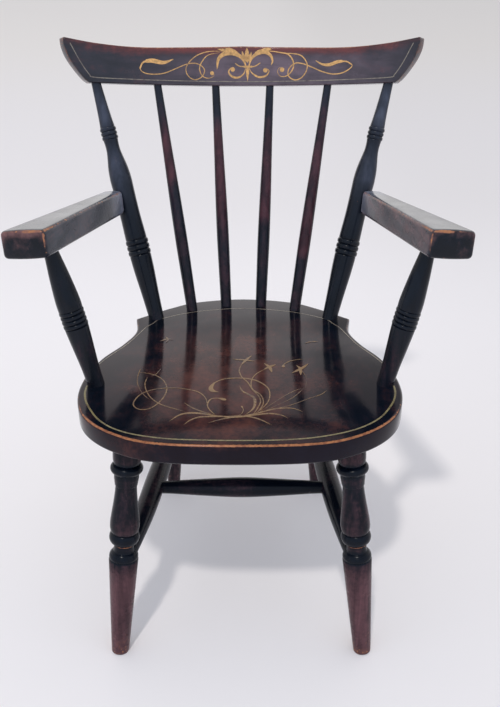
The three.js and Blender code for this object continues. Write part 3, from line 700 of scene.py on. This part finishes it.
def make_arm(name, sign, material):
    """Board from its front end to the back post, wider in front, with rounded worn edges."""
    s = sizes()
    front, rear = arm_line(sign)
    run = rear - front
    length = run.length
    stations = [(d * MM, w * MM, h * MM) for d, w, h in ARM_FRONT_ROUND]
    stations += [(length * share, 0, 0) for share in (i / 20 for i in range(1, 20))]
    stations += [(length - d * MM, w * MM, h * MM) for d, w, h in ARM_REAR_ROUND]

    def half_width(x):
        return (s.arm_front_width + (s.arm_rear_width - s.arm_front_width) * x / length) / 2

    bm = bmesh.new()
    layers = wear_layers(bm)
    ring = None
    for distance, narrower, lower in stations:
        outline = rounded_ring(half_width(distance) - narrower, s.arm_thickness / 2 - lower,
                               s.arm_round - min(0.35 * narrower, 0.4 * s.arm_round), s.arm_crown)
        if ring is None:
            ring = [bm.verts.new((distance, y, z)) for y, z in outline]
            loop = [bm.edges.new((ring[i - 1], ring[i])) for i in range(len(ring))]
            bm.faces.new(ring)
        else:
            grown = bmesh.ops.extrude_edge_only(bm, edges=loop)["geom"]
            fresh = {tuple(v.co): v for v in grown if isinstance(v, bmesh.types.BMVert)}
            ring = [fresh[tuple(v.co)] for v in ring]
            for vert, (y, z) in zip(ring, outline):
                vert.co = (distance, y, z)
            loop = [bm.edges.get((ring[i - 1], ring[i])) for i in range(len(ring))]
    bm.faces.new(ring)
    bmesh.ops.recalc_face_normals(bm, faces=bm.faces[:])
    wear_arm(bm, layers, sign, length, half_width)
    forward = run.normalized()
    outwards = sign * forward.cross(Vector((0, 0, 1))).normalized()
    outwards.rotate(Matrix.Rotation(sign * s.arm_tilt, 3, forward))
    left = -sign * outwards
    place = Matrix((forward, left, forward.cross(left))).transposed().to_4x4()
    place.translation = front
    bmesh.ops.transform(bm, matrix=place, verts=bm.verts[:])
    bmesh.ops.recalc_face_normals(bm, faces=bm.faces[:])
    finish_piece(bm, name, material, [name], 40)


def stroke_width(kind, t):
    """Half width of a brush stroke along its length, as a share of its widest."""
    taper = math.sin(math.pi * t)
    if kind == "leaf":
        return max(taper, 0.04) ** 0.8
    if kind == "comma":
        swell = max(0.22, math.exp(-((t - 0.07) / 0.1) ** 2), 0.36 * math.sin(math.pi * min(1, 1.15 * t)))
        return swell * step_between(t, -0.01, 0.05) * (1 - 0.8 * step_between(t, 0.85, 1))
    if kind == "scroll":
        return 0.62 + 0.38 * math.cos(math.tau * (t - 0.5) * 0.9)
    if kind == "claw":
        return 0.25 + 0.75 * math.sin(math.pi * min(1, 0.95 * t + 0.02)) ** 1.5 if t < 0.97 else 0.12
    if kind == "blade":
        return 0.22 + 0.78 * math.sin(math.pi * min(1, t)) ** 1.3 if t > 0.25 else 0.3 + 0.5 * t
    if kind == "drop":
        return max(0.05, math.sin(math.pi * min(1, (t + 0.06) ** 0.6)))
    if kind == "bar":
        return 1.0
    return 1.0 - 0.6 * step_between(abs(t - 0.5), 0.4, 0.5)


def paint_stroke(bm, fade_layer, points, kind, widest, fade):
    """Lays a flat strip along a smooth curve, as wide as the brush was pressed."""
    path = spline([Vector(p) * MM for p in points], 9)
    lengths = [0.0]
    for a, b in zip(path, path[1:]):
        lengths.append(lengths[-1] + (b - a).length)
    edge = None
    for i, here in enumerate(path):
        ahead = path[min(i + 1, len(path) - 1)] - path[max(i - 1, 0)]
        side = Vector((-ahead.y, ahead.x)).normalized()
        half = widest * MM * stroke_width(kind, lengths[i] / lengths[-1])
        pair = (here - side * half, here + side * half)
        if edge is None:
            verts = [bm.verts.new((*p, 0)) for p in pair]
            edge = bm.edges.new(verts)
        else:
            grown = bmesh.ops.extrude_edge_only(bm, edges=[edge])["geom"]
            fresh = [v for v in grown if isinstance(v, bmesh.types.BMVert)]
            fresh.sort(key=lambda v: (v.co - verts[0].co).length)
            for vert, p in zip(fresh, pair):
                vert.co = (*p, 0)
            edge = bm.edges.get(fresh)
            verts = fresh
        for vert in verts:
            vert[fade_layer] = fade


def make_gilding(name, strokes, dots, surface, material):
    """Thin painted film of all the strokes on one surface, each a little above the one before."""
    bm = bmesh.new()
    fade_layer = bm.verts.layers.float.new("fade")
    placed = 0
    for i, (points, kind, widest, fade) in enumerate(strokes):
        paint_stroke(bm, fade_layer, points, kind, widest, fade)
        bm.verts.ensure_lookup_table()
        for vert in bm.verts[placed:]:
            vert.co.z = (0.12 + 0.008 * i) * MM
        placed = len(bm.verts)
    for x, y, radius in dots:
        bmesh.ops.create_circle(bm, cap_ends=True, segments=20, radius=radius * MM,
                                matrix=Matrix.Translation((x * MM, y * MM, 0.3 * MM)))
    bmesh.ops.recalc_face_normals(bm, faces=bm.faces[:])
    for face in bm.faces:
        if face.normal.z < 0:
            face.normal_flip()
    for vert in bm.verts:
        vert.co = surface(vert.co.x, vert.co.y, vert.co.z)
    finish_piece(bm, name, material)


# Materials


def feed(tree, socket, value):
    """Gives a socket a value or another socket's output."""
    if isinstance(value, bpy.types.NodeSocket):
        tree.links.new(value, socket)
    else:
        socket.default_value = value


def add(tree, kind, **inputs):
    """A node with its settings and inputs."""
    node = tree.nodes.new(kind)
    for key, value in inputs.items():
        if hasattr(node, key):
            setattr(node, key, value)
        else:
            feed(tree, node.inputs[key], value)
    return node


def math_node(tree, operation, *values, clamp=False):
    node = add(tree, "ShaderNodeMath", operation=operation, use_clamp=clamp)
    for socket, value in zip(node.inputs, values):
        feed(tree, socket, value)
    return node.outputs[0]


def weighted(tree, *terms):
    """Sum of pairs of a value and its weight."""
    total = None
    for value, weight in terms:
        part = value if weight == 1 else math_node(tree, "MULTIPLY", value, weight)
        total = part if total is None else math_node(tree, "ADD", total, part)
    return total


def vector_math(tree, operation, *values):
    node = add(tree, "ShaderNodeVectorMath", operation=operation)
    for socket, value in zip(node.inputs, values):
        feed(tree, socket, value)
    return node.outputs


def ramp(tree, value, low, high, out_low=0.0, out_high=1.0):
    """Smooth step of a value from low to high."""
    node = add(tree, "ShaderNodeMapRange", interpolation_type="SMOOTHSTEP")
    for key, given in (("Value", value), ("From Min", low), ("From Max", high), ("To Min", out_low),
                       ("To Max", out_high)):
        feed(tree, node.inputs[key], given)
    return node.outputs["Result"]


def blend(tree, factor, a, b, mode="MIX"):
    """Mixes two colours."""
    node = add(tree, "ShaderNodeMix", data_type="RGBA", blend_type=mode)
    for socket, value in ((node.inputs["Factor"], factor), (node.inputs[6], a), (node.inputs[7], b)):
        feed(tree, socket, value)
    return node.outputs[2]


def noise(tree, vector, scale, detail=4.0, roughness=0.55, distortion=0.0):
    node = add(tree, "ShaderNodeTexNoise", Vector=vector, Scale=scale, Detail=detail, Roughness=roughness,
               Distortion=distortion)
    return node.outputs[0]


def attribute(tree, name):
    return add(tree, "ShaderNodeAttribute", attribute_name=name).outputs["Fac"]


def new_material(name):
    """A material with its node tree and its shader's inputs."""
    material = bpy.data.materials.new(name)
    material.use_nodes = True
    return material, material.node_tree, material.node_tree.nodes["Principled BSDF"].inputs


def new_group(name, inputs, outputs):
    group = bpy.data.node_groups.new(name, "ShaderNodeTree")
    for label, kind in inputs:
        group.interface.new_socket(label, in_out="INPUT", socket_type=kind)
    for label, kind in outputs:
        group.interface.new_socket(label, in_out="OUTPUT", socket_type=kind)
    return group, group.nodes.new("NodeGroupInput").outputs, group.nodes.new("NodeGroupOutput").inputs


def rubbed_paint_group():
    """Black over red over wood: how each coat shows, by grain, rubbing, chips and flecks."""
    found = bpy.data.node_groups.get("rubbed paint")
    if found:
        return found
    group, given, result = new_group(
        "rubbed paint",
        [("Position", "NodeSocketVector"), ("Grain", "NodeSocketVector"), ("Rub", "NodeSocketFloat"),
         ("Bare", "NodeSocketFloat"), ("Black", "NodeSocketColor"), ("Red", "NodeSocketColor"),
         ("Wood", "NodeSocketColor")],
        [("Color", "NodeSocketColor"), ("Roughness", "NodeSocketFloat"), ("Height", "NodeSocketFloat")])
    link = group.links.new
    position, rub, bare, red, wood = (given[key] for key in ("Position", "Rub", "Bare", "Red", "Wood"))
    along = vector_math(group, "MULTIPLY", position, given["Grain"])["Vector"]
    streaks = noise(group, along, 1.0, 7.0, 0.62, 0.4)
    blotches = noise(group, position, 26.0, 4.0, 0.55)
    specks = noise(group, position, 210.0, 3.0, 0.6)
    chips = noise(group, position, 95.0, 5.0, 0.62)
    fine = noise(group, position, 330.0, 2.0, 0.5)
    # Red ground: where rubbed, in streaks along the grain.
    lifted = weighted(group, (streaks, 0.45), (blotches, 0.3), (specks, 0.25), (rub, 0.34))
    red_mask = ramp(group, lifted, 0.44, 0.92)
    darker = ramp(group, streaks, 0.35, 0.65, 0.72, 1.12)
    grey = group.nodes.new("ShaderNodeCombineColor")
    for channel in grey.inputs:
        link(darker, channel)
    coat = blend(group, red_mask, given["Black"], red)
    toned = blend(group, 1.0, coat, grey.outputs[0], "MULTIPLY")
    # Bare wood: at worn edges, in chips and in fine flecks, darker and redder where half worn.
    worn = weighted(group, (bare, 1), (math_node(group, "SUBTRACT", chips, 0.5), 0.9))
    half_worn = ramp(group, worn, 0.36, 0.62)
    flecks = ramp(group, weighted(group, (fine, 1), (bare, 0.9)), 0.98, 1.05)
    wood_mask = math_node(group, "MAXIMUM", ramp(group, worn, 0.56, 0.82), flecks)
    ground = blend(group, 0.35, red, wood)
    edge = blend(group, math_node(group, "MULTIPLY", half_worn, 0.6), toned, ground)
    wood_tone = blend(group, ramp(group, specks, 0.35, 0.7), wood, ground)
    link(blend(group, wood_mask, edge, wood_tone), result["Color"])
    # Gloss: polished paint, duller where rubbed, dull on wood.
    gloss = ramp(group, blotches, 0.3, 0.75, 0.17, 0.30)
    dull = weighted(group, (gloss, 1), (red_mask, 0.06))
    rough = math_node(group, "ADD", dull, math_node(group, "MULTIPLY", half_worn, 0.25), clamp=True)
    link(rough, result["Roughness"])
    link(weighted(group, (streaks, 0.35), (specks, 0.12), (wood_mask, -0.8)), result["Height"])
    return group


def painted_wood(name, grain, coats, polish=(0.0, 0.0), specular=0.14, tint=(1, 1, 1, 1), gloss=1.0,
                 centre=None, varnish=0.1):
    """Worn paint: stretch of its grain; upper coat, lower coat, and a colour of haze and painted sheen;
    varnish on upward and other faces.

    The tint colours its shine, a small gloss sharpens it. A centre, a place and how fast the wear falls off
    from it, adds rubbing. The last number is the roughness of the varnish.
    """
    material, tree, shader = new_material(name)
    # The third coat is the colour of haze and painted sheen.
    upper, lower, haze = coats
    shader["Specular IOR Level"].default_value = specular
    shader["Specular Tint"].default_value = tint
    shader["Coat Roughness"].default_value = varnish
    place = add(tree, "ShaderNodeTexCoord").outputs
    position = place["Object"]
    upward = add(tree, "ShaderNodeSeparateXYZ", Vector=place["Normal"]).outputs["Z"]
    tree.links.new(ramp(tree, upward, 0.6, 0.92, polish[1], polish[0]), shader["Coat Weight"])
    rub = attribute(tree, "rub")
    if centre:
        offset = vector_math(tree, "SUBTRACT", position, centre[0])["Vector"]
        spread = vector_math(tree, "MULTIPLY", offset, centre[1])["Vector"]
        away = vector_math(tree, "LENGTH", spread)["Value"]
        rub = math_node(tree, "ADD", rub, ramp(tree, away, 1.2, 0.25, 0.0, 0.62))
    # Painted sheen: a paler colour mixed into the upper coat by the vertex amounts, standing in for light on
    # the varnish, partly with real haze.
    mottling = ramp(tree, noise(tree, position, 45.0), 0.3, 0.7, 0.75, 1.25)
    haze_and_sheen_amount = math_node(tree, "MULTIPLY", attribute(tree, "haze_and_sheen"), mottling)
    group = add(tree, "ShaderNodeGroup", node_tree=rubbed_paint_group())
    given = {
        "Position": position, "Grain": grain, "Rub": rub, "Bare": attribute(tree, "bare"),
        "Black": blend(tree, haze_and_sheen_amount, upper, haze), "Red": lower, "Wood": colours().wood,
    }
    for key, value in given.items():
        feed(tree, group.inputs[key], value)
    paint = group.outputs
    tree.links.new(paint["Color"], shader["Base Color"])
    tree.links.new(math_node(tree, "MULTIPLY", paint["Roughness"], gloss), shader["Roughness"])
    bump = add(tree, "ShaderNodeBump", Strength=0.25, Distance=0.6 * MM, Height=paint["Height"])
    tree.links.new(bump.outputs["Normal"], shader["Normal"])
    return material


def gilding(name, colour, under, wear):
    """Bronze paint rubbed thin, with the coat under it showing through."""
    material, tree, shader = new_material(name)
    position = add(tree, "ShaderNodeTexCoord").outputs["Object"]
    patches = noise(tree, position, 170.0, 4.0, 0.6)
    broad = noise(tree, position, 38.0, 3.0, 0.5)
    worn = weighted(tree, (patches, 0.55), (broad, 0.45), (attribute(tree, "fade"), wear))
    tone = noise(tree, position, 420.0, 2.0, 0.5)
    dark = tuple(c * 0.66 for c in colour[:3]) + (1,)
    gold = blend(tree, ramp(tree, tone, 0.3, 0.7), dark, colour)
    tree.links.new(blend(tree, ramp(tree, worn, 0.5, 0.88), gold, under), shader["Base Color"])
    tree.links.new(ramp(tree, worn, 0.3, 0.8, 0.36, 0.24), shader["Roughness"])
    return material


def materials():
    """The chair's finishes, made once."""
    if "paint on legs" not in bpy.data.materials:
        c = colours()
        dark = (c.black, c.red, c.painted_blue_highlight)
        painted_wood("paint on legs", (95, 95, 7), dark)
        painted_wood("paint on back", (95, 95, 7), (c.black, c.dark_red, c.painted_blue_highlight), specular=0.2)
        painted_wood("paint on stretchers", (70, 12, 70), dark)
        painted_wood("paint on cross stretcher", (9, 80, 80), dark)
        painted_wood("paint on arms", (80, 9, 80), (c.black, c.arm_red, c.pale_haze_and_sheen), polish=(0.6, 0.2),
                     specular=0.15, varnish=0.2)
        painted_wood("paint on crest", (7, 60, 90), (c.black, c.crest_red, c.painted_pink_highlight), polish=(0.4, 0.35),
                     specular=0.3)
        centre = ((-12 * MM, SEAT_FRONT + 130 * MM, sizes().seat_top), (8.6, 5.8, 90.0))
        painted_wood("paint on seat", (30, 20, 30), (c.black, c.warm_red, c.painted_blue_highlight), polish=(0.05, 0.0),
                     specular=0.2, tint=(1.0, 0.64, 0.66, 1), gloss=0.45, centre=centre)
        under = tuple(0.6 * b + 0.4 * r for b, r in zip(c.black[:3], c.red[:3])) + (1,)
        gilding("gilding on crest", c.gilt, under, 0.4)
        gilding("gilding on seat", c.old_gilt, under, 0.4)
        gilding("stripe on seat", c.stripe, under, 0.3)
        gilding("thin stripes", c.thin_stripe, under, 0.3)
    return bpy.data.materials


def studio_world():
    """Bright walls, brightest behind the chair, under a dimmer ceiling."""
    world = bpy.data.worlds.new("studio")
    world.use_nodes = True
    tree = world.node_tree
    direction = add(tree, "ShaderNodeTexCoord").outputs["Generated"]
    part = add(tree, "ShaderNodeSeparateXYZ", Vector=direction).outputs
    wall = ramp(tree, part["Y"], -0.5, 0.6, 0.95, 1.15)
    ceiling = ramp(tree, part["Z"], 0.52, 0.82)
    walls = math_node(tree, "MULTIPLY", wall, math_node(tree, "SUBTRACT", 1.0, ceiling))
    level = weighted(tree, (walls, 1), (ceiling, 0.6))
    tint = blend(tree, ramp(tree, part["Y"], -0.6, 0.5), (0.82, 0.93, 1.12, 1), (1.0, 0.985, 0.985, 1))
    # A dim opening behind on the right, seen mostly in the polish of the seat.
    opening = math_node(tree, "MULTIPLY", ramp(tree, part["X"], 0.08, 0.15), ramp(tree, part["Y"], 0.72, 0.8))
    opening = math_node(tree, "MULTIPLY", opening, ramp(tree, part["Z"], 0.36, 0.42))
    left_over = math_node(tree, "SUBTRACT", 1.0, math_node(tree, "MULTIPLY", opening, 0.5))
    sky = tree.nodes["Background"]
    tree.links.new(tint, sky.inputs["Color"])
    tree.links.new(math_node(tree, "MULTIPLY", level, left_over), sky.inputs["Strength"])
    return world


def floor_paint():
    """Pale floor with painted shade: darker with its distance behind the chair and to the right of it, where
    the light falls off.
    """
    c = colours()
    material, tree, shader = new_material("studio floor")
    position = add(tree, "ShaderNodeTexCoord").outputs["Object"]
    place = add(tree, "ShaderNodeSeparateXYZ", Vector=position).outputs
    shaded_near = blend(tree, ramp(tree, place["Y"], 0.55, 1.6), c.floor, c.floor_shaded_behind)
    far = blend(tree, ramp(tree, place["Y"], 2.0, 5.0), shaded_near, c.floor_shaded_far)
    shade = blend(tree, ramp(tree, place["X"], 0.0, 0.6, 0.0, 0.075), far, c.floor_shade)
    tree.links.new(shade, shader["Base Color"])
    shader["Roughness"].default_value = 0.9
    shader["Specular IOR Level"].default_value = 0.0
    return material


# Stage


def make_floor():
    bm = bmesh.new()
    bmesh.ops.create_grid(bm, x_segments=1, y_segments=1, size=20)
    mesh = bpy.data.meshes.new("floor")
    bm.to_mesh(mesh)
    bm.free()
    floor = bpy.data.objects.new("floor", mesh)
    bpy.context.scene.collection.objects.link(floor)
    mesh.materials.append(floor_paint())


def make_light():
    lamp = bpy.data.lights.new("window light", "AREA")
    lamp.shape = "DISK"
    lamp.size = LAMP_SIZE
    lamp.energy = LAMP_WATTS
    lamp.color = LAMP_COLOUR
    light = bpy.data.objects.new("window light", lamp)
    light.location = LAMP_PLACE
    aim = Vector(LAMP_AIM) - light.location
    light.rotation_euler = aim.to_track_quat("-Z", "Y").to_euler()
    bpy.context.scene.collection.objects.link(light)


def make_camera():
    lens = bpy.data.cameras.new("camera")
    lens.sensor_width = SENSOR_WIDTH
    lens.lens = FOCAL_PIXELS * SENSOR_WIDTH / PHOTO_HEIGHT
    lens.shift_x = SHIFT_PIXELS / PHOTO_HEIGHT
    camera = bpy.data.objects.new("camera", lens)
    x, y, z = CAMERA_PLACE
    camera.location = (x, SEAT_FRONT + y, z)
    camera.rotation_euler = (math.pi / 2 - CAMERA_DIP, 0, 0)
    bpy.context.scene.collection.objects.link(camera)
    bpy.context.scene.camera = camera


# Operators


class CHAIR_OT_stage(bpy.types.Operator):
    """Pale floor, soft light and the camera"""

    bl_idname = "chair.stage"
    bl_label = "Stage"

    def execute(self, context):
        scene = context.scene
        scene.view_settings.view_transform = "Standard"
        scene.world = studio_world()
        make_floor()
        make_light()
        make_camera()
        return {"FINISHED"}


class CHAIR_OT_seat(bpy.types.Operator):
    """Shaped plank seat with rounded, worn edges"""

    bl_idname = "chair.seat"
    bl_label = "Seat"

    def execute(self, context):
        make_seat(materials()["paint on seat"])
        return {"FINISHED"}


class CHAIR_OT_crest(bpy.types.Operator):
    """Bent crest rail with a waved top edge"""

    bl_idname = "chair.crest"
    bl_label = "Crest rail"

    def execute(self, context):
        make_crest(materials()["paint on crest"])
        return {"FINISHED"}


class CHAIR_OT_back(bpy.types.Operator):
    """Turned back posts and plain spindles"""

    bl_idname = "chair.back"
    bl_label = "Back posts and spindles"

    def execute(self, context):
        paint = materials()["paint on back"]
        for side, sign in SIDES:
            turn(f"back_post_{side}", back_line("back_post", sign), BACK_POST, POST_RUB, POST_BARE,
                 POST_PAINTED_HIGHLIGHT, paint)
            for kind in ("spindle_outer", "spindle_inner"):
                name = f"{kind}_{side}"
                turn(name, back_line(kind, sign), SPINDLE, SPINDLE_RUB[name], SPINDLE_BARE, SPINDLE_PAINTED_HIGHLIGHT,
                     paint, 32, front_rub=SPINDLE_FRONT_RUB)
        return {"FINISHED"}


class CHAIR_OT_arms(bpy.types.Operator):
    """Flat arms and the turned posts under them"""

    bl_idname = "chair.arms"
    bl_label = "Arms and arm posts"

    def execute(self, context):
        for side, sign in SIDES:
            make_arm(f"arm_{side}", sign, materials()["paint on arms"])
            turn(f"arm_post_{side}", arm_post_line(sign), ARM_POST, ARM_POST_RUB, POST_BARE, NO_PAINTED_HIGHLIGHT,
                 materials()["paint on back"])
        return {"FINISHED"}


class CHAIR_OT_legs(bpy.types.Operator):
    """Turned front legs and plain rear legs, cut level at the floor"""

    bl_idname = "chair.legs"
    bl_label = "Legs"

    def execute(self, context):
        paint = materials()["paint on legs"]
        for side, sign in SIDES:
            turn(f"front_leg_{side}", leg_line("front_leg", sign), FRONT_LEG, FRONT_LEG_RUB, FRONT_LEG_BARE,
                 NO_PAINTED_HIGHLIGHT, paint, 56, (FOOT_TRIM, TENON), True)
            turn(f"rear_leg_{side}", leg_line("rear_leg", sign), REAR_LEG, REAR_LEG_RUB, REAR_LEG_BARE,
                 NO_PAINTED_HIGHLIGHT, paint, 48, (FOOT_TRIM, TENON), True)
        return {"FINISHED"}


class CHAIR_OT_stretchers(bpy.types.Operator):
    """Swelled side stretchers and the cross stretcher between them"""

    bl_idname = "chair.stretchers"
    bl_label = "Stretchers"

    def execute(self, context):
        middles = []
        for side, sign in SIDES:
            ends = side_stretcher_line(sign)
            turn(f"side_stretcher_{side}", ends, SIDE_STRETCHER, STRETCHER_RUB, STRETCHER_BARE, NO_PAINTED_HIGHLIGHT,
                 materials()["paint on stretchers"], 40, (0, 0))
            middles.append(ends[0].lerp(ends[1], sizes().cross_share))
        turn("cross_stretcher", middles, CROSS_STRETCHER, STRETCHER_RUB, STRETCHER_BARE, NO_PAINTED_HIGHLIGHT,
             materials()["paint on cross stretcher"], 40, (0, 0))
        return {"FINISHED"}


class CHAIR_OT_gilding(bpy.types.Operator):
    """Gilt scrolls and stripes on the crest and the seat"""

    bl_idname = "chair.gilding"
    bl_label = "Gilding"

    def execute(self, context):
        finishes = materials()
        on_seat = lambda x, y, lift: Vector((x, SEAT_FRONT + y, sizes().seat_top + lift))
        on_crest = lambda x, y, lift: crest_point(x, y, -lift)
        make_gilding("seat_scrolls", SEAT_STROKES, (), on_seat, finishes["gilding on seat"])
        make_gilding("seat_stripe", ((SEAT_STRIPE, "bar", 1.0, 0.25),), (), on_seat,
                     finishes["stripe on seat"])
        make_gilding("seat_back_stripe", ((SEAT_BACK_STRIPE, "bar", 0.7, 0.3),), (), on_seat,
                     finishes["thin stripes"])
        make_gilding("crest_scrolls", CREST_STROKES, CREST_DOTS, on_crest, finishes["gilding on crest"])
        make_gilding("crest_stripe", ((CREST_STRIPE, "bar", 0.5, 0.3),), (), on_crest,
                     finishes["thin stripes"])
        return {"FINISHED"}


class CHAIR_PT_panel(bpy.types.Panel):
    """Buttons for the chair's pieces"""

    bl_idname = "CHAIR_PT_panel"
    bl_label = "Armchair"
    bl_space_type = "VIEW_3D"
    bl_region_type = "UI"
    bl_category = "Armchair"

    def draw(self, context):
        for operator in OPERATORS:
            self.layout.operator(operator.bl_idname)


OPERATORS = (CHAIR_OT_stage, CHAIR_OT_seat, CHAIR_OT_crest, CHAIR_OT_back, CHAIR_OT_arms, CHAIR_OT_legs,
             CHAIR_OT_stretchers, CHAIR_OT_gilding)
CLASSES = (ChairSizes, ChairColours) + OPERATORS + (CHAIR_PT_panel,)


def register():
    for cls in CLASSES:
        bpy.utils.register_class(cls)
    bpy.types.Scene.chair_sizes = bpy.props.PointerProperty(type=ChairSizes)
    bpy.types.Scene.chair_colours = bpy.props.PointerProperty(type=ChairColours)


def unregister():
    del bpy.types.Scene.chair_colours
    del bpy.types.Scene.chair_sizes
    for cls in reversed(CLASSES):
        bpy.utils.unregister_class(cls)


def main():
    register()
    bpy.ops.chair.stage()
    bpy.ops.chair.seat()
    bpy.ops.chair.crest()
    bpy.ops.chair.back()
    bpy.ops.chair.arms()
    bpy.ops.chair.legs()
    bpy.ops.chair.stretchers()
    bpy.ops.chair.gilding()


if __name__ == "__main__":
    main()
